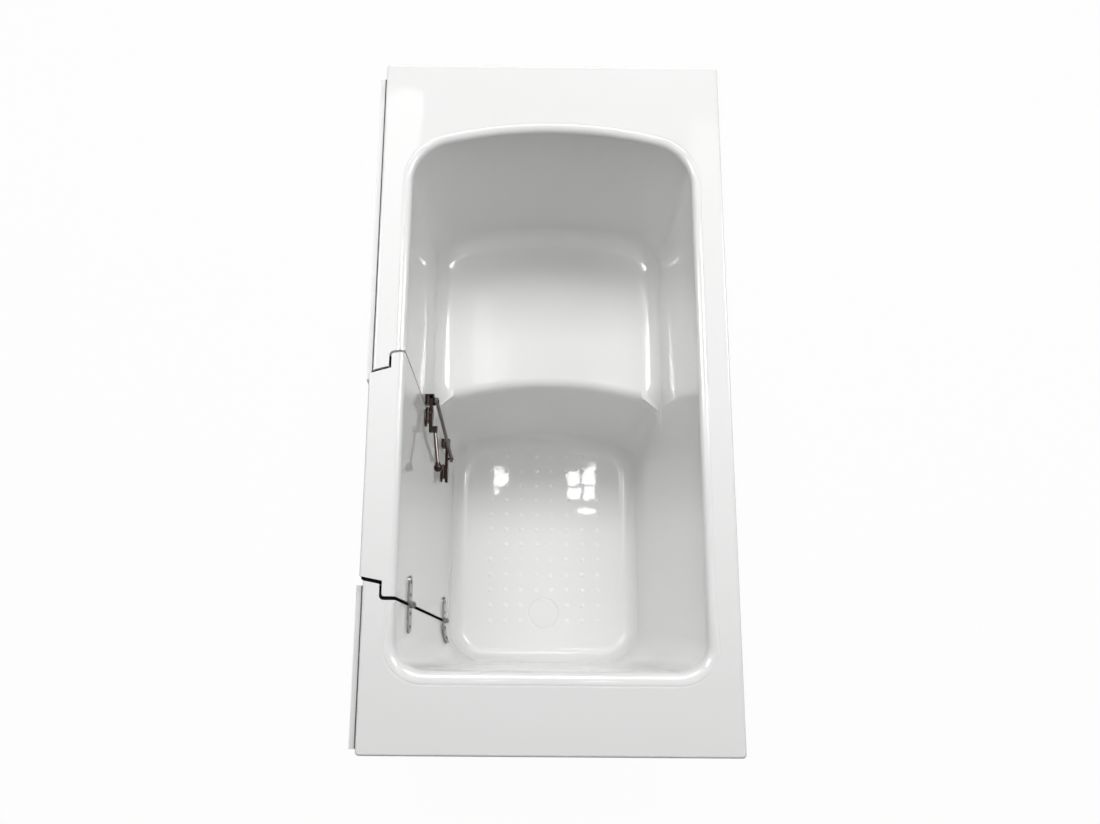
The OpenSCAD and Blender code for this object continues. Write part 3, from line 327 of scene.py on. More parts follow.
def bump(nt, bsdf, height, strength, distance):
    bp = add(nt, "ShaderNodeBump")
    bp.inputs["Strength"].default_value = strength
    bp.inputs["Distance"].default_value = distance
    nt.links.new(height, bp.inputs["Height"])
    nt.links.new(bp.outputs["Normal"], bsdf.inputs["Normal"])
    return bp


def grey(v):
    return (v, v, v)


def shade(colour, factor):
    return tuple(c * factor for c in colour)


def acrylic(name, base=0.86, rough=0.018):
    """White moulded sheet, hardly uneven in tone."""
    mat, nt, b = new_material(name)
    b.inputs["IOR"].default_value = 1.5
    warm = shade((1, 0.999, 0.992), base - 0.012)
    cool = shade((1, 1, 0.996), base)
    ramp(nt, noise(nt, 2.2, 2.0), [(0.35, warm), (0.65, cool)], b.inputs["Base Color"])

    # Level parts and the long sides keep the sheet's polish; the end walls, which stretched
    # most in the mould, are softer, and only level parts are wavy
    grain = noise(nt, 9.0)
    polished = ramp(nt, grain, [(0.3, grey(rough)), (0.75, grey(rough + 0.015))])
    stretched = ramp(nt, grain, [(0.3, grey(rough + 0.09)), (0.75, grey(rough + 0.13))])
    axes = axes_of(nt, "Normal")
    level = ramp(nt, axes["Z"], [(0.12, grey(0.0)), (0.55, grey(1.0))])
    side = ramp(nt, maths(nt, "ABSOLUTE", axes["X"]), [(0.80, grey(0.0)), (0.97, grey(1.0))])
    mx = add(nt, "ShaderNodeMix", data_type="FLOAT")
    nt.links.new(maths(nt, "MAXIMUM", level, side), mx.inputs[0])
    nt.links.new(stretched, mx.inputs[2])
    nt.links.new(polished, mx.inputs[3])
    nt.links.new(mx.outputs[0], b.inputs["Roughness"])

    wave = bump(nt, b, noise(nt, 22.0, 1.0), 0.09, 0.0011)
    peel = bump(nt, b, noise(nt, 110.0, 2.0), 0.02, 0.0006)
    nt.links.new(wave.outputs["Normal"], peel.inputs["Normal"])
    for layer in (wave, peel):
        strength = layer.inputs["Strength"]
        nt.links.new(maths(nt, "MULTIPLY", level, strength.default_value), strength)
    return mat


def metal(name, colour, rough, scale, spread, relief=0.05, brushed=None):
    """Metal with grain of a scale, which darkens the colour by up to the spread."""
    mat, nt, b = new_material(name)
    b.inputs["Metallic"].default_value = 1.0
    nz = noise(nt, scale, 4.0, stretch=brushed)
    ramp(nt, nz, [(0.3, shade(colour, 1 - spread)), (0.7, colour)], b.inputs["Base Color"])
    smooth, dull = grey(max(rough - 0.06, 0.03)), grey(rough + 0.08)
    ramp(nt, nz, [(0.25, smooth), (0.75, dull)], b.inputs["Roughness"])
    bump(nt, b, nz, relief, 0.0004)
    return mat


def plastic(name, colour, rough, scale, spread, relief, level=0.5):
    """Plastic, rubber or paint, with level as its specular level."""
    mat, nt, b = new_material(name)
    b.inputs["Specular IOR Level"].default_value = level
    nz = noise(nt, scale, 4.0)
    big = noise(nt, scale / 12, 2.0)
    ramp(nt, big, [(0.3, shade(colour, 1 - spread)), (0.7, colour)], b.inputs["Base Color"])
    smooth, dull = grey(max(rough - 0.05, 0.02)), grey(rough + 0.05)
    ramp(nt, nz, [(0.3, smooth), (0.7, dull)], b.inputs["Roughness"])
    bump(nt, b, nz, relief, 0.0005)
    return mat


def fibreglass():
    """Laminated back of the shell: chopped strand under resin."""
    mat, nt, b = new_material("fibreglass_back")
    mx = add(nt, "ShaderNodeMix", data_type="FLOAT")
    mx.inputs[0].default_value = 0.5
    nt.links.new(noise(nt, 90.0, 6.0, 0.65, stretch=(1.0, 3.5, 1.6)), mx.inputs[2])
    nt.links.new(noise(nt, 70.0, 6.0, 0.65, stretch=(3.2, 1.0, 1.3)), mx.inputs[3])
    strands = mx.outputs[0]
    ramp(nt, strands, [(0.38, (0.52, 0.50, 0.43)), (0.6, (0.74, 0.73, 0.68))], b.inputs["Base Color"])
    b.inputs["Roughness"].default_value = 0.55
    bump(nt, b, strands, 0.5, 0.0015)
    return mat


def plywood():
    mat, nt, b = new_material("plywood_board")
    grain = noise(nt, 9.0, 8.0, 0.6, stretch=(14.0, 1.2, 14.0))
    stops = [(0.3, (0.42, 0.28, 0.15)), (0.5, (0.60, 0.43, 0.26)), (0.72, (0.70, 0.54, 0.35))]
    ramp(nt, grain, stops, b.inputs["Base Color"])
    b.inputs["Roughness"].default_value = 0.62
    bump(nt, b, grain, 0.25, 0.0008)
    return mat


ACRYLIC = acrylic("white_acrylic")
PANEL = acrylic("white_acrylic_panel", rough=0.06)
CAP = acrylic("white_cap", base=0.85, rough=0.12)
# The dots' white is a little lighter than the floor's: a painted highlight for their glints.
DOT_PAINTED_HIGHLIGHT = acrylic("white_acrylic_dots_painted_highlight", base=0.905, rough=0.16)
BACK = fibreglass()
PLY = plywood()
STEEL_PAINT = plastic(
    "frame_powder_coat", (0.22, 0.23, 0.24), rough=0.42, scale=220.0, spread=0.08, relief=0.25
)
ZINC = metal("zinc_steel", (0.62, 0.63, 0.65), rough=0.30, scale=45.0, spread=0.16, relief=0.06)
STAINLESS = metal(
    "stainless", (0.36, 0.36, 0.355), rough=0.24, scale=30.0, spread=0.30, brushed=(1.0, 1.0, 26.0)
)
DARK = metal("dark_chrome", (0.050, 0.037, 0.033), rough=0.13, scale=120.0, spread=0.35)
# A lighter copy of the dark chrome for the lever and the link rod: painted sheen for their brighter
# reflections.
ROD_PAINTED_SHEEN = metal(
    "dark_chrome_rod_painted_sheen", (0.145, 0.125, 0.117), rough=0.17, scale=90.0, spread=0.30, brushed=(1.0, 1.0, 4.0)
)
BLACKENED = metal(
    "blackened_barrel", (0.022, 0.021, 0.020), rough=0.34, scale=160.0, spread=0.30, relief=0.06
)
# Black rubber with no specular at all: on the strips in the doorway's gap it also paints the gap's shade.
RUBBER_AND_GAP_SHADE = plastic("black_rubber", grey(0.010), rough=0.62, scale=300.0, spread=0.2, relief=0.3, level=0.0)
# A dark grey with no specular: the bead is sealant and also paints the shade of the joint's gap.
SEALANT_AND_GAP_SHADE = plastic("grey_sealant_and_gap_shade", grey(0.12), rough=0.55, scale=200.0, spread=0.2, relief=0.3, level=0.0)
PIPE = plastic("grey_plastic", (0.62, 0.62, 0.60), rough=0.38, scale=150.0, spread=0.05, relief=0.1)

SLOT_MATERIAL = {
    "white_acrylic": PANEL,
    "white_cap": CAP,
    "plywood": PLY,
    "frame_steel": STEEL_PAINT,
    "zinc_steel": ZINC,
    "stainless": STAINLESS,
    "dark_chrome": DARK,
    "black_rubber": RUBBER_AND_GAP_SHADE,
    "grey_plastic": PIPE,
}
for node, slot in SLOT_OF.items():
    NODES[node].data.materials.clear()
    NODES[node].data.materials.append(SLOT_MATERIAL[slot])

# ---------------------------------------------------------------- tub rings
# Points along a ring's stretches. A ring starts at the door side, where the foot half meets
# the head half, and runs round the foot end first. All rings have the same number of
# points, so a ring along the riser puts the rest of its head half on the riser's arch.
N_SIDE, N_CORNER, N_FOOT, N_BACK, N_RC = 10, 18, 12, 40, 20
N_RISER = 2 * N_SIDE + 2 * N_CORNER + N_BACK - 2 * N_RC


# The basin's walls at depth d, grown outwards by g
def wall_x(d, g=0):
    return BASIN_HALF_W - d * RUN + g


def foot_y(d, g=0):
    return FOOT_Y + d * FOOT_RUN - g


def head_y(d, g=0):
    return HEAD_Y - d * HEAD_RUN + g


def foot_r(d, g=0):
    return FOOT_R + d * FOOT_R_GROWTH + g


def share(d):
    """0 at the seat and 1 at the floor."""
    return (d - SEAT_D) / SEAT_H


def riser_y(d):
    return FRONT_Y - RISER_RUN * share(d)


def riser_rc(d):
    return RISER_RC + RISER_RC_GROWTH * share(d)


def arch_corner_y(hw, yf, ra, rc):
    """Where the corners of radius rc leave the sides for an arch of radius ra up to yf."""
    return yf - ra + math.sqrt((ra - rc) ** 2 - (hw - rc) ** 2)


def riser_side_y(d, gx, gy):
    return arch_corner_y(wall_x(d, gx), riser_y(d) + gy, FRONT_R + gy, riser_rc(d) + gx)


def arc(c, r, a, b, n):
    """n points round c after angle a and up to angle b, in degrees."""
    turns = [math.radians(a + (b - a) * i / n) for i in range(1, n + 1)]
    return [(c[0] + r * math.cos(t), c[1] + r * math.sin(t)) for t in turns]


def line(p, q, n):
    """n points after p and up to q."""
    return [(p[0] + (q[0] - p[0]) * i / n, p[1] + (q[1] - p[1]) * i / n) for i in range(1, n + 1)]


def foot_half(hw, yn, r, ny):
    """From (-hw, ny) round the foot end at yn to (hw, ny)."""
    return (
        [(-hw, ny)]
        + line((-hw, ny), (-hw, yn + r), N_SIDE)
        + arc((-hw + r, yn + r), r, 180, 270, N_CORNER)
        + line((-hw + r, yn), (hw - r, yn), N_FOOT)
        + arc((hw - r, yn + r), r, 270, 360, N_CORNER)
        + line((hw, yn + r), (hw, ny), N_SIDE)
    )


def head_half(hw, yf, ra, rc, ny, ns, nc, na):
    """From (hw, ny) round an arch up to yf and back, with ns, nc and na points on each
    side, on each corner and on the arch."""
    cy = arch_corner_y(hw, yf, ra, rc)
    a = math.degrees(math.atan2(cy - (yf - ra), hw - rc))
    out = line((hw, ny), (hw, cy), ns) if ns else []
    out += arc((hw - rc, cy), rc, 0, a, nc)
    out += arc((0, yf - ra), ra, a, 180 - a, na)
    out += arc((-hw + rc, cy), rc, 180 - a, 180, nc)
    if ns:
        out += line((-hw, cy), (-hw, ny), ns)
    return out[:-1]


def square_head(hw, yf, rc, ny):
    return (
        line((hw, ny), (hw, yf - rc), N_SIDE)
        + arc((hw - rc, yf - rc), rc, 0, 90, N_CORNER)
        + line((hw - rc, yf), (-hw + rc, yf), N_BACK)
        + arc((-hw + rc, yf - rc), rc, 90, 180, N_CORNER)
        + line((-hw, yf - rc), (-hw, ny), N_SIDE)[:-1]
    )


def lift(pts, d):
    """Points in plan, put at depth d."""
    return [(x, y, H - d) for x, y in pts]


def rim_ring(inset, d):
    hw, hl, r = HALF_W - inset, HALF_L - inset, max(RIM_R - inset, 1.5)
    return lift(foot_half(hw, -hl, r, 0) + square_head(hw, hl, r, 0), d)


def upper_ring(d, gf, gh):
    """Ring of the basin above the seat, grown by gf in its foot half and gh in its head."""
    ny = riser_side_y(SEAT_D, 0, NOSE)
    foot = foot_half(wall_x(d, gf), foot_y(d, gf), foot_r(d, gf), ny)
    head = head_half(wall_x(d, gh), head_y(d, gh), ARCH_R + gh, HEAD_RC + gh, ny, N_SIDE, N_CORNER, N_BACK)
    return lift(foot + head, d)


def well_ring(df, dr, g, gy):
    """Ring of the footwell at depth df in its foot half and dr along the riser, grown by g,
    and by gy at the riser."""
    ny = riser_side_y(dr, g, gy)
    foot = foot_half(wall_x(df, g), foot_y(df, g), foot_r(df, g), ny)
    riser = head_half(wall_x(dr, g), riser_y(dr) + gy, FRONT_R + gy, riser_rc(dr) + g, ny, 0, N_RC, N_RISER)
    return lift(foot, df) + lift(riser, dr)


def smooth01(t):
    t = min(max(t, 0.0), 1.0)
    return t * t * (3 - 2 * t)


def lip_ring(a, o, beyond=0.0, sink=0.0):
    """Ring of the rolled lip at angle a, with its own radius at each end. The ring lies at
    offset o under the surface, moved outwards by beyond and down by sink."""
    pts = []
    for k, (_, y, _) in enumerate(upper_ring(0, 0, 0)):
        foot = smooth01((LIP_FOOT_FROM - y) / LIP_FOOT_BLEND)
        head = smooth01((y - LIP_HEAD_FROM) / LIP_HEAD_BLEND)
        r = LIP_SIDE + (LIP_FOOT - LIP_SIDE) * foot + (LIP_HEAD - LIP_SIDE) * head - o
        d = o + r * (1 - math.cos(a)) + sink
        g = o + r * (1 - math.sin(a)) + beyond
        pts.append(upper_ring(d, g, g)[k])
    return pts


def inner_rings(o, lip_s, cove_s, nose_s, toe_s):
    """Rings from the lip down to the floor at offset o, with the steps of each rounding."""
    cove, nose, toe = SEAT_COVE + o, NOSE - o, FLOOR_COVE + o
    sd, fd = SEAT_D + o, FLOOR_D + o
    rings = [lip_ring(a, o) for a in quarter_turn(lip_s)]
    rings += [upper_ring(d, o, o) for d in UPPER_RINGS]
    for a in quarter_turn(cove_s):
        rings.append(upper_ring(sd - cove * (1 - math.sin(a)), o, o - cove * (1 - math.cos(a))))
    for a in quarter_turn(nose_s):
        # The foot half is 2 mm deeper, so that it stays clear of the last ring of the cove
        d = sd + nose * (1 - math.cos(a))
        rings.append(well_ring(d + 2, d, o, o + nose * (1 - math.sin(a))))
    rings += [well_ring(d, d, o, o) for d in WELL_RINGS]
    for a in quarter_turn(toe_s):
        d = fd - toe * (1 - math.sin(a))
        g = o - toe * (1 - math.cos(a))
        rings.append(well_ring(d, d, g, g))
    return rings


def floor_cap(verts, base, n, flip):
    """Closes a floor ring with shrunken copies and a middle point."""
    ring = np.array(verts[base : base + n])
    mid = ring.mean(axis=0)
    faces = []
    prev = base
    for s in (0.75, 0.45, 0.2):
        start = len(verts)
        verts += [tuple(p) for p in mid + (ring - mid) * s]
        for i in range(n):
            j = (i + 1) % n
            faces.append((prev + i, prev + j, start + j, start + i))
        prev = start
    faces += [(prev + i, prev + (i + 1) % n, len(verts)) for i in range(n)]
    verts.append(tuple(mid))
    return [f[::-1] for f in faces] if flip else faces


def tub_mesh():
    """From the floor up to the rim, over its edge, down the skirt and back inside."""
    groove = [lip_ring(0, 0, beyond, sink) for beyond, sink in LIP_GROOVE]
    rings = (groove + inner_rings(0, 8, 10, 8, 10))[::-1]
    rings += [rim_ring(EDGE_R * (1 - math.sin(a)), EDGE_R * (1 - math.cos(a))) for a in quarter_turn(5)]
    rings += [rim_ring(0, SKIRT_H - SKIRT_CHAMFER), rim_ring(SKIRT_CHAMFER, SKIRT_H)]
    n_front = len(rings)
    rings += [rim_ring(T - SKIRT_CHAMFER, SKIRT_H), rim_ring(T, SKIRT_H - SKIRT_CHAMFER)]
    rings += [rim_ring(T, T + SKIRT_FILLET), rim_ring(T + SKIRT_FILLET, T)]
    rings += inner_rings(T, 4, 6, 4, 6)
    n = len(rings[0])
    verts = [p for r in rings for p in r]
    faces = ring_faces(len(rings), n)
    mat_of = [FRONT] * n_front * n + [BEHIND] * (len(rings) - 1 - n_front) * n
    top = floor_cap(verts, 0, n, True)
    bottom = floor_cap(verts, (len(rings) - 1) * n, n, False)
    mat_of += [FRONT] * len(top) + [BEHIND] * len(bottom)
    ob = new_object("tub_moulding", verts, faces + top + bottom, [ACRYLIC, BACK], "tub", mat_of=mat_of)
    recalc(ob)
    return ob


# ---------------------------------------------------------------- doorway blocks
def round_corner(a, b, c, r):
    """Points of an arc of radius r in the corner at b between a and c."""
    n = 16
    a, b, c = (np.array(v, float) for v in (a, b, c))
    u = (a - b) / np.linalg.norm(a - b)
    v = (c - b) / np.linalg.norm(c - b)
    half = math.acos(float(u @ v)) / 2
    cx, cy = b + (u + v) / np.linalg.norm(u + v) * r / math.sin(half)
    px, py = b + u * r / math.tan(half)
    qx, qy = b + v * r / math.tan(half)
    start = math.atan2(py - cy, px - cx)
    sweep = math.atan2(qy - cy, qx - cx) - start
    sweep = (sweep + math.pi) % (2 * math.pi) - math.pi
    turns = [start + sweep * i / n for i in range(n + 1)]
    return [(cx + r * math.cos(t), cy + r * math.sin(t)) for t in turns]


def outline(hinge, latch, bottom, r):
    """The doorway's outline in y and z, from its hinge edge down and up to its latch edge,
    which leans. It reaches past the rim."""
    over = 8
    zt, zb = H + over, H - bottom
    pa, pb = (hinge, zt), (hinge, zb)
    pc, pd = (latch - LEAN * bottom, zb), (latch + LEAN * over, zt)
    return [pa] + round_corner(pa, pb, pc, r) + round_corner(pb, pc, pd, r) + [pd]


def flange_outline(x, hg, g):
    """The wide outline at x, grown by hg at its hinge edge and by g elsewhere."""
    latch = LATCH_EDGE + g + FLANGE_FLARE * (x - REBATE_X)
    return outline(-HINGE_EDGE - hg, latch, DOOR_D + g, FLANGE_R + g)


def plug_latch_y(x, g):
    return LATCH_EDGE - LATCH_STEP + g + LATCH_FLARE * (x - REBATE_X)


def plug_outline(x, hg, g):
    """The narrow outline at x, grown in the same way."""
    hinge = -HINGE_EDGE + HINGE_STEP - hg - HINGE_FLARE * (x - REBATE_X)
    return outline(hinge, plug_latch_y(x, g), DOOR_D - SILL_STEP + g, PLUG_R + g)


def block(name, outline_at, x0, x1, growth, mat=FRONT):
    """A solid between the outlines at x0 and x1."""
    a, b = outline_at(x0, *growth), outline_at(x1, *growth)
    n = len(a)
    verts = [(x0, y, z) for y, z in a] + [(x1, y, z) for y, z in b]
    faces = [tuple(range(n))[::-1], tuple(range(n, 2 * n))]
    faces += [(i, (i + 1) % n, n + (i + 1) % n, n + i) for i in range(n)]
    ob = new_object(name, verts, faces, [ACRYLIC, BACK], None, smooth=False, mat_of=[mat] * len(faces))
    recalc(ob)
    return ob


def stepped_block(name, step, outer, growth, mat=FRONT):
    """The flange from inside the basin out to x at step, joined to the plug from there out."""
    overlap = 1
    ob = block(name + "_flange", flange_outline, step, PAST_IN, growth, mat)
    boolean(ob, [block(name + "_plug", plug_outline, outer, step + overlap, growth, mat)], "UNION")
    return ob


def round_step(ob, x, bulge, hollow):
    """Rounds the edges where a stepped block changes width at x: its outer corner by bulge
    and its inner corner by hollow, in mm."""
    target, near = (x + SX) * MM, 0.2 * MM
    with editing(ob) as bm:
        bmesh.ops.dissolve_limit(bm, angle_limit=math.radians(0.5), verts=bm.verts, edges=bm.edges)
        found = {True: [], False: []}
        for e in bm.edges:
            if all(abs(v.co.x - target) < near for v in e.verts) and len(e.link_faces) == 2:
                if e.calc_face_angle(0) > math.radians(50):
                    found[e.is_convex].append(e)
        for convex, width in ((True, bulge), (False, hollow)):
            edges = [e for e in found[convex] if e.is_valid]
            if edges:
                arc_shape = {"offset": width * MM, "segments": 5, "profile": 0.5}
                bmesh.ops.bevel(bm, geom=edges, affect="EDGES", clamp_overlap=True, **arc_shape)


def trim_box(name, xs, ys, zs):
    """A box from its ranges, where None for an x stands for the door side's leaning wall."""
    verts = [(-wall_x(H - z) if x is None else x, y, z) for z in zs for y in ys for x in xs]
    ob = new_object(name, verts, BOX_FACES, [ACRYLIC, BACK], None, smooth=False)
    recalc(ob)
    return ob


# ---------------------------------------------------------------- tub
def cut_doorway(tub):
    """Moulds the stepped door frame on to the wall, and cuts the doorway through it."""
    jamb = stepped_block("jamb", REBATE_X - T, -HALF_W, JAMB, BEHIND)
    basin = trim_box("trim_basin", (None, 0), PAST_Y, (0, PAST_TOP))
    rim = trim_box("trim_rim", (PAST_OUT, 0), PAST_Y, (H - T / 2, PAST_TOP))
    boolean(jamb, [basin, rim], "DIFFERENCE")
    boolean(tub, [jamb], "UNION")
    cut = stepped_block("cut", REBATE_X, PAST_OUT, OPENING)
    round_step(cut, REBATE_X, bulge=STEP_R, hollow=STEP_R_SMALL)
    boolean(tub, [cut], "DIFFERENCE")


def cut_drain(tub):
    """A boss under the floor, and in it the recess for the cover and the drain's hole."""
    mats = [ACRYLIC, BACK]
    boss_profile = [(50, -T - RECESS_D), (51.5, -T - RECESS_D + 1), (52, -2)]
    boss = lathe("boss", boss_profile, DRAIN, mats, None, 64)
    boss.data.polygons.foreach_set("material_index", [BEHIND] * len(boss.data.polygons))
    boolean(tub, [boss], "UNION")
    floor_edge = [(43.1, -1.0), (44.6, -0.5), (46.7, -0.14), (49.0, 0.0), (50.0, 0.6), (50.0, 20)]
    recess_profile = [(42.2, -RECESS_D), (42.2, -1.5)] + floor_edge
    recess = lathe("recess", recess_profile, DRAIN, mats, None, DRAIN_SIDES)
    bore = lathe("bore", [(BORE_R, -60), (BORE_R, 10)], DRAIN, mats, None, DRAIN_SIDES)
    boolean(tub, [recess, bore], "DIFFERENCE")


tub = tub_mesh()
cut_doorway(tub)
cut_drain(tub)
bevel(tub, width=1.4, angle=60, segments=2)
finish_normals(tub, angle=34)
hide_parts("tub_shell")


# ---------------------------------------------------------------- anti-slip dots
def dots():
    """Low domed dots in rows across the floor, left out round the drain, in a lighter white that is a
    painted highlight for their glints.
    """
    first_row, pitch_x, pitch_y, columns = -7.6, 44.4, 44.0, 8
    radius, height, sides, drain_clearance = 6.2, 0.9, 28, 62
    profile = [(1.0, -0.3), (1.0, 0.25), (0.93, 0.7), (0.78, 0.93), (0.55, 1.0), (0.25, 1.0)]
    last = (len(profile) - 1) * sides
    one_dot = [tuple(range(sides))[::-1]] + ring_faces(len(profile), sides)
    one_dot += [(last + i, last + (i + 1) % sides, len(profile) * sides) for i in range(sides)]
    verts, faces = [], []
    for row in range(-1, 11):
        y = first_row - row * pitch_y
        for column in range(columns):
            x = (column - (columns - 1) / 2) * pitch_x
            if math.hypot(x - DRAIN[0], y - DRAIN[1]) < drain_clearance:
                continue
            base = len(verts)
            for share_r, share_h in profile:
                r, z = radius * share_r, FLOOR_Z + height * share_h
                verts += [(x + r * math.cos(a), y + r * math.sin(a), z) for a in circle(sides)]
            verts.append((x, y, FLOOR_Z + height))
            faces += [tuple(base + i for i in f) for f in one_dot]
    ob = new_object("floor_dots", verts, faces, [DOT_PAINTED_HIGHLIGHT], "tub")


dots()


# ---------------------------------------------------------------- door
def door_profile():
    """Section of the door in x and z, from the outer foot up and over to the inner foot."""
    low = FLOOR_D - 20  # past the door's lower edge
    r = LIP_SIDE
    cx = -wall_x(r) - r
    pts = [(FACE_X, H - low)]
    for a in quarter_turn(6):
        pts.append((FACE_X + EDGE_R - EDGE_R * math.cos(a), H - EDGE_R + EDGE_R * math.sin(a)))
    pts += [(cx + r * math.sin(a), H - r + r * math.cos(a)) for a in quarter_turn(10)]
    pts += [(-wall_x(d), H - d) for d in (*DOOR_RINGS, low)]
    return pts


def door():
    """The profile run along y, kept inside the doorway's outline, with a grooved face."""
    profile = door_profile()
    past_hinge, past_latch, sections = -500, 110, 14
    ys = np.linspace(past_hinge, past_latch, sections)
    verts = [(x, y, z) for y in ys for x, z in profile]
    n = len(profile)
    faces = [tuple(range(n)), tuple(range((sections - 1) * n, sections * n))[::-1]]
    faces += ring_faces(sections, n)
    ob = new_object("door_moulding", verts, faces, [ACRYLIC, BACK], "door")
    recalc(ob)

    step = REBATE_X + SEAL_GAP
    keep = stepped_block("keep", step, PAST_OUT, LEAF)
    round_step(keep, step, bulge=STEP_R_SMALL, hollow=STEP_R)
    boolean(ob, [keep], "INTERSECT")

    outer, inner = -DOOR_GROOVE_INSET, -DOOR_GROOVE_INSET - DOOR_GROOVE_W
    groove = block("groove", plug_outline, PAST_OUT, FACE_X + DOOR_GROOVE_D, (outer, outer))
    core = block("core", plug_outline, PAST_OUT - 1, FACE_X + DOOR_GROOVE_D + 1, (inner, inner))
    top = trim_box("trim_top", (PAST_OUT - 1, PAST_IN), PAST_Y, (H - EDGE_R, PAST_TOP))
    boolean(groove, [core, top], "DIFFERENCE")
    boolean(ob, [groove], "DIFFERENCE")

    bevel(ob, width=1.6, angle=60, segments=3)
    finish_normals(ob, angle=34)
    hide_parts("door_inner_shell", "door_outer_skin")


door()

# ---------------------------------------------------------------- dressed hardware and frame
# The hinges' axis: its y, the depth of its upper hinge, and how far it is off the wall
HINGE_Y, HINGE_D, HINGE_OUT = -458.5, 160.0, 7.3
BARREL_REACH = 7.9
WALL_N = Vector((math.cos(DRAFT), 0, math.sin(DRAFT)))
WALL_U = Vector((-math.sin(DRAFT), 0, math.cos(DRAFT)))


def from_wall(y, d, c):
    """A row-frame point c, in mm along the wall's normal, +y and up the wall from (y, d)."""
    q = Vector((c.x / MM - SX + wall_x(d), c.y / MM - y, c.z / MM - H + d))
    return q.dot(WALL_N), q.y, q.dot(WALL_U)


def wall_point(y, d, a, b, u):
    """The reverse of from_wall, in mm round the tub's own middle."""
    return (-wall_x(d) + a * WALL_N.x + u * WALL_U.x, y + b, H - d + a * WALL_N.z + u * WALL_U.z)


def on_barrel(corners):
    """1 for a face that lies wholly on a hinge's barrel, and 0 for any other."""
    places = [from_wall(HINGE_Y, HINGE_D, c) for c in corners]
    return int(all(math.hypot(a - HINGE_OUT, b) < BARREL_REACH for a, b, _ in places))


def dressed(node, width, segments=3, mats=None, pick=None):
    """A node's form with its sharp edges rounded off; pick gives each face its material."""
    me = NODES[node].data.copy()
    me.materials.clear()
    for m in mats or [SLOT_MATERIAL[SLOT_OF[node]]]:
        me.materials.append(m)
    ob = link(bpy.data.objects.new(node + "_dressed", me))
    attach(ob, BODY_OF[node])
    with editing(ob) as bm:
        bmesh.ops.remove_doubles(bm, verts=bm.verts, dist=2e-6)
        bmesh.ops.dissolve_limit(bm, angle_limit=math.radians(0.4), verts=bm.verts, edges=bm.edges)
        bmesh.ops.recalc_face_normals(bm, faces=bm.faces)
    bevel(ob, width, angle=38, segments=segments)
    me = ob.data
    me.shade_smooth()
    mat_of = [pick([me.vertices[i].co for i in q.vertices]) if pick else 0 for q in me.polygons]
    me.polygons.foreach_set("material_index", mat_of)
    finish_normals(ob, angle=40)
    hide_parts(node)


for node in NODES:
    if node.endswith(("tub_leaf", "door_leaf")):
        dressed(node, 1.0, mats=[STAINLESS, BLACKENED], pick=on_barrel)
    elif node.endswith("hinge_pin"):
        dressed(node, 0.7)
    elif node.endswith("_keeper"):
        dressed(node, 2.2)
    elif node.endswith(("latch_base", "latch_cam")):
        dressed(node, 1.6)
    elif node in ("latch_lever", "link_rod"):
        dressed(node, 1.2, mats=[ROD_PAINTED_SHEEN])
    elif node == "lever_knob":
        dressed(node, 0.8, mats=[DARK])
    elif node.endswith(("_rail", "_rails", "_post", "_posts", "seat_legs")):
        dressed(node, 2.6)
    elif node in ("levelling_feet", "foot_lock_nuts", "panel_brackets"):
        dressed(node, 0.7)
    elif node in ("drain_nut", "drain_body", "waste_elbow"):
        dressed(node, 0.7)
    elif node.endswith("_board"):
        dressed(node, 0.8, segments=2)
    elif node == "front_panel":
        dressed(node, 1.8)


# ---------------------------------------------------------------- trim that is in the scene alone
def rounded_box(name, corners, mat, body, radius, segments):
    ob = new_object(name, corners, BOX_FACES, [mat], body)
    recalc(ob)
    bevel(ob, radius, angle=50, segments=segments)
    ob.data.shade_smooth()
    finish_normals(ob, angle=40)
    return ob


# Thin boxes round the latches' bases: y and depth of each, and their reach out of the wall,
# along +y and up the wall
LATCHES = (("upper", 3.0, 298.0), ("lower", -74.0, 591.0))
HOUSING_OUT, HOUSING_Y, HOUSING_UP = (3.0, 10.1), (-19.0, 18.5), (-11.5, 11.5)
for name, y, d in LATCHES:
    corners = [wall_point(y, d, a, b, u) for u in HOUSING_UP for b in HOUSING_Y for a in HOUSING_OUT]
    ob = rounded_box(name + "_latch_housing", corners, DARK, "door", 2.6, 4)


def seal(name, corners, mat=RUBBER_AND_GAP_SHADE):
    """A dark strip from its eight corners, the upper four first: partly a real gasket, partly painted shade
    for the gap it fills.
    """
    ob = rounded_box(name, corners, mat, "tub", 0.9, 3)


# Strips in the doorway's gap: two along the hinge edge, on either side of the step, and one
# along the latch edge
# These strips are gaskets that also paint the shade in the gap, black with no sheen.
SEAL_TOP, HINGE_SEAL_D, LATCH_SEAL_D = 5.0, 740.0, 700.0
INNER_SEAL_Y, OUTER_SEAL_Y, LATCH_SEAL_G = (-462.2, -455.2), (-428.2, -421.4), (0.7, 4.9)
OUTER_SEAL_X = (-385.0, REBATE_X - 1)
inner, outer, latch_side = [], [], []
for d in (SEAL_TOP, HINGE_SEAL_D):
    inner += [(x, y, H - d) for y in INNER_SEAL_Y for x in (REBATE_X + 1, -wall_x(d) - 1.2)]
    outer += [(x, y + HINGE_FLARE * (REBATE_X - x), H - d) for y in OUTER_SEAL_Y for x in OUTER_SEAL_X]
for d in (SEAL_TOP, LATCH_SEAL_D):
    latch_side += [(x, plug_latch_y(x, g) - LEAN * d, H - d) for g in LATCH_SEAL_G for x in OUTER_SEAL_X]
seal("seal_inner", inner)
seal("seal_outer", outer)
seal("seal_latch_side", latch_side)

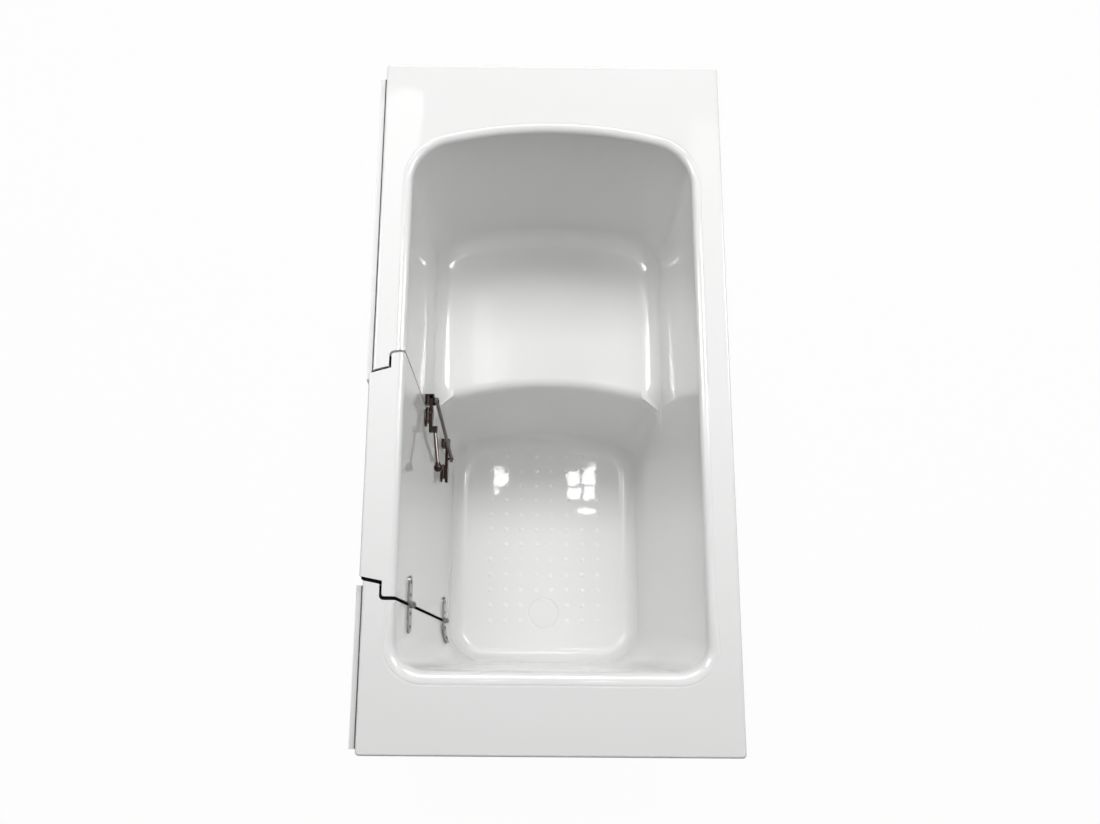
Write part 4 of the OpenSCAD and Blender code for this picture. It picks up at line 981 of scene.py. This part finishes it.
# A bead along the joint of the rim's skirt and the top of the front panel, on both sides of
# the doorway, a little short of the panel's top at each end
# The bead's dark grey also paints the shade of the gap at this joint.
BEAD_X, BEAD_D, BEAD_SHORT = (-390.0, -381.05), (44.0, 47.9), 1.0
PANEL_TOP_D, NEARLY = 48.0, 0.5
DOORWAY_MIDDLE = (LATCH_EDGE - HINGE_EDGE) / 2
panel_top = [
    v.co.y / MM
    for v in NODES["front_panel"].data.vertices
    if v.co.z / MM > H - PANEL_TOP_D - NEARLY and v.co.x / MM - SX > BEAD_X[0]
]
foot_part = [y for y in panel_top if y < DOORWAY_MIDDLE]
head_part = [y for y in panel_top if y > DOORWAY_MIDDLE]
for end, ys in (("foot", foot_part), ("head", head_part)):
    span = (min(ys) + BEAD_SHORT, max(ys) - BEAD_SHORT)
    seal("panel_bead_" + end, [(x, y, H - d) for d in BEAD_D for y in span for x in BEAD_X], SEALANT_AND_GAP_SHADE)


# ---------------------------------------------------------------- drain cover
def drain_cover():
    """A thin disc with a rounded edge on a stem, its top about level with the floor."""
    gap, thickness = 2.4, 2.4
    edge = [(41.2, 0.0), (42.0, 0.4), (42.08, 1.1), (41.3, 1.55), (39.8, 2.0), (37.5, 2.32)]
    profile = [(4, -28), (4, -0.1)] + edge + [(33.0, thickness), (20, thickness)]
    centre = (DRAIN[0], DRAIN[1], FLOOR_Z - RECESS_D + gap)
    cover = lathe("drain_cover_disc", profile, centre, [CAP], "stopper", DRAIN_SIDES)
    finish_normals(cover, angle=40)
    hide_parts("drain_cover")


drain_cover()

# ---------------------------------------------------------------- camera
# Solved from the photograph: its size, focal length and optical centre in pixels, and the
# camera's place in metres from the middle of the rim
PHOTO_W, PHOTO_H = 1100.0, 824.0
FOCAL_PX = 1000.0
CENTRE_PX = (530.5, 432.8)
SENSOR = 36.0
CAMERA_AT = (-0.0499, -0.6255, 2.0324)
YAW, TILT, ROLL = math.radians(0.644), math.radians(75.857), math.radians(1.085)


def photo_camera():
    forward = Vector((math.sin(YAW) * math.cos(TILT), math.cos(YAW) * math.cos(TILT), -math.sin(TILT)))
    right = Vector((math.cos(YAW), -math.sin(YAW), 0))
    up = right.cross(forward)
    rolled_right = right * math.cos(ROLL) + up * math.sin(ROLL)
    rolled_up = right * -math.sin(ROLL) + up * math.cos(ROLL)
    turn = Matrix((rolled_right, rolled_up, -forward)).transposed().to_4x4()
    data = bpy.data.cameras.new("camera")
    data.sensor_width = SENSOR
    data.lens = SENSOR * FOCAL_PX / PHOTO_W
    data.shift_x = (PHOTO_W / 2 - CENTRE_PX[0]) / PHOTO_W
    data.shift_y = (CENTRE_PX[1] - PHOTO_H / 2) / PHOTO_W
    data.clip_start = 0.05
    cam = bpy.data.objects.new("camera", data)
    x, y, z = CAMERA_AT
    cam.matrix_world = Matrix.Translation((SX * MM + x, y, H * MM + z)) @ turn
    return link(cam)


bpy.context.scene.camera = photo_camera()


# ---------------------------------------------------------------- floor and light
def seen_directly(nt):
    """1 for a ray from the camera, or one mirrored or passed on by a surface; 0 for light."""
    lp = add(nt, "ShaderNodeLightPath")
    total = lp.outputs["Is Camera Ray"]
    for kind in ("Is Glossy Ray", "Is Transmission Ray"):
        total = maths(nt, "MAXIMUM", total, lp.outputs[kind])
    return total


def mix_shaders(nt, factor, first, second, output):
    ms = add(nt, "ShaderNodeMixShader")
    nt.links.new(factor, ms.inputs[0])
    nt.links.new(first.outputs[0], ms.inputs[1])
    nt.links.new(second.outputs[0], ms.inputs[2])
    nt.links.new(ms.outputs[0], nt.nodes[output].inputs["Surface"])


def glow(nd, strength):
    """Sets a Background or Emission node to white of this strength."""
    nd.inputs["Color"].default_value = (1, 1, 1, 1)
    nd.inputs["Strength"].default_value = strength
    return nd


def studio_floor():
    """A pale floor that takes shadows and is seen as nearly white."""
    mat, nt, b = new_material("studio_floor")
    b.inputs["Roughness"].default_value = 0.9
    ramp(nt, noise(nt, 1.5, 2.0), [(0.3, grey(0.80)), (0.7, grey(0.82))], b.inputs["Base Color"])
    white = glow(add(nt, "ShaderNodeEmission"), 1.0)
    mix_shaders(nt, maths(nt, "MULTIPLY", seen_directly(nt), 0.965), b, white, "Material Output")
    me = bpy.data.meshes.new("studio_floor")
    me.from_pydata([(-15, -15, 0), (15, -15, 0), (15, 15, 0), (-15, 15, 0)], [], [(0, 1, 2, 3)])
    me.materials.append(mat)
    floor = link(bpy.data.objects.new("studio_floor", me))


def studio_world():
    """White where it is seen, and a faint light on the object."""
    world = bpy.data.worlds.new("studio")
    bpy.context.scene.world = world
    world.use_nodes = True
    nt = world.node_tree
    faint = glow(nt.nodes["Background"], 0.05)
    white = glow(add(nt, "ShaderNodeBackground"), 1.0)
    mix_shaders(nt, seen_directly(nt), faint, white, "World Output")


def area(name, loc, aim, sx, sy, power):
    """A rectangular lamp, sx by sy metres, that faces aim, or straight down without one."""
    lt = bpy.data.lights.new(name, "AREA")
    lt.shape = "RECTANGLE"
    lt.size, lt.size_y = sx, sy
    lt.energy = power
    ob = bpy.data.objects.new(name, lt)
    ob.location = loc
    if aim:
        ob.rotation_euler = (Vector(aim) - Vector(loc)).to_track_quat("-Z", "Y").to_euler()
    return link(ob)


def soft_lamps():
    """Broad soft lights that aren't mirrored: beyond the head end, overhead and at the sides."""
    for name, loc, aim, sx, sy, power in (
        ("soft_far", (0, 2.7, 5.3), (0, 0.1, 0.6), 3.2, 1.8, 168),
        ("soft_top", (0, 0.1, 5.6), (0, 0.1, 0.6), 1.8, 1.8, 30),
        ("soft_left", (-3.0, 0.5, 3.2), (0, 0.1, 0.8), 1.6, 3.0, 24),
        ("soft_right", (3.0, 0.5, 3.2), (0, 0.1, 0.8), 1.6, 3.0, 36),
    ):
        area(name, loc, aim, sx, sy, power).visible_glossy = False


def panes():
    """Small panes overhead that show as reflections on the floor and the seat."""
    height, aim_height, aim_back = 3.516, 0.2, 0.315
    for name, x, y, sx, sy, power in (
        ("pane_a", -0.205, 0.655, 0.085, 0.10, 0.40),
        ("pane_a_low", -0.235, 0.575, 0.035, 0.035, 0.05),
        ("pane_b_left", 0.258, 0.665, 0.080, 0.085, 0.32),
        ("pane_b_right", 0.352, 0.672, 0.080, 0.090, 0.34),
        ("pane_b_low", 0.262, 0.568, 0.085, 0.070, 0.28),
        ("pane_b_end", 0.358, 0.570, 0.070, 0.080, 0.26),
        ("pane_c", 0.345, 0.445, 0.11, 0.03, 0.15),
        ("pane_d", -0.305, 1.28, 0.10, 0.50, 0.15),
        ("pane_e", -0.20, 1.16, 0.14, 0.26, 0.11),
    ):
        area(name, (x, y, height), (x, y - aim_back, aim_height), sx, sy, power)


def mirrored_panels():
    """Panels that only mirrored rays see: two beside the tub, two higher up that show in the
    rounded edges of the seat and the floor, and one beyond the head end."""
    for name, loc, aim, sx, sy, power in (
        ("panel_left", (-1.62, 1.0, 2.75), (0, 0.25, 0.56), 0.55, 1.2, 24),
        ("panel_right", (1.56, 1.0, 2.75), (0, 0.25, 0.56), 0.55, 1.2, 24),
        ("panel_high_left", (-1.76, 1.1, 3.35), (0.2, -0.5, 0.15), 1.1, 1.2, 25),
        ("panel_high_right", (1.86, 1.1, 3.35), (-0.2, -0.5, 0.15), 1.1, 1.2, 25),
        ("panel_far", (0, 3.5, 2.9), (0, 0, 1.0), 3.4, 1.8, 130),
    ):
        area(name, loc, aim, sx, sy, power).visible_diffuse = False


def rim_panels():
    """Two long panels over the sides, faded at their near ends, that the flat rims mirror."""
    height = 4.5
    for name, x0, x1, y0, y1, power in (
        ("panel_rim_left", -1.55, -0.70, -0.45, 2.95, 20),
        ("panel_rim_right", 0.93, 1.75, -0.45, 2.75, 9),
    ):
        ob = area(name, ((x0 + x1) / 2, (y0 + y1) / 2, height), None, x1 - x0, y1 - y0, power)
        ob.visible_diffuse = False
        ob.data.use_nodes = True
        nt = ob.data.node_tree
        along = axes_of(nt, "Parametric")["Y"]
        ramp(nt, along, [(0.0, grey(0.0)), (0.45, grey(1.0))], nt.nodes["Emission"].inputs["Color"])


studio_floor()
studio_world()
soft_lamps()
panes()
mirrored_panels()
rim_panels()

vs = bpy.context.scene.view_settings
vs.view_transform = "Standard"
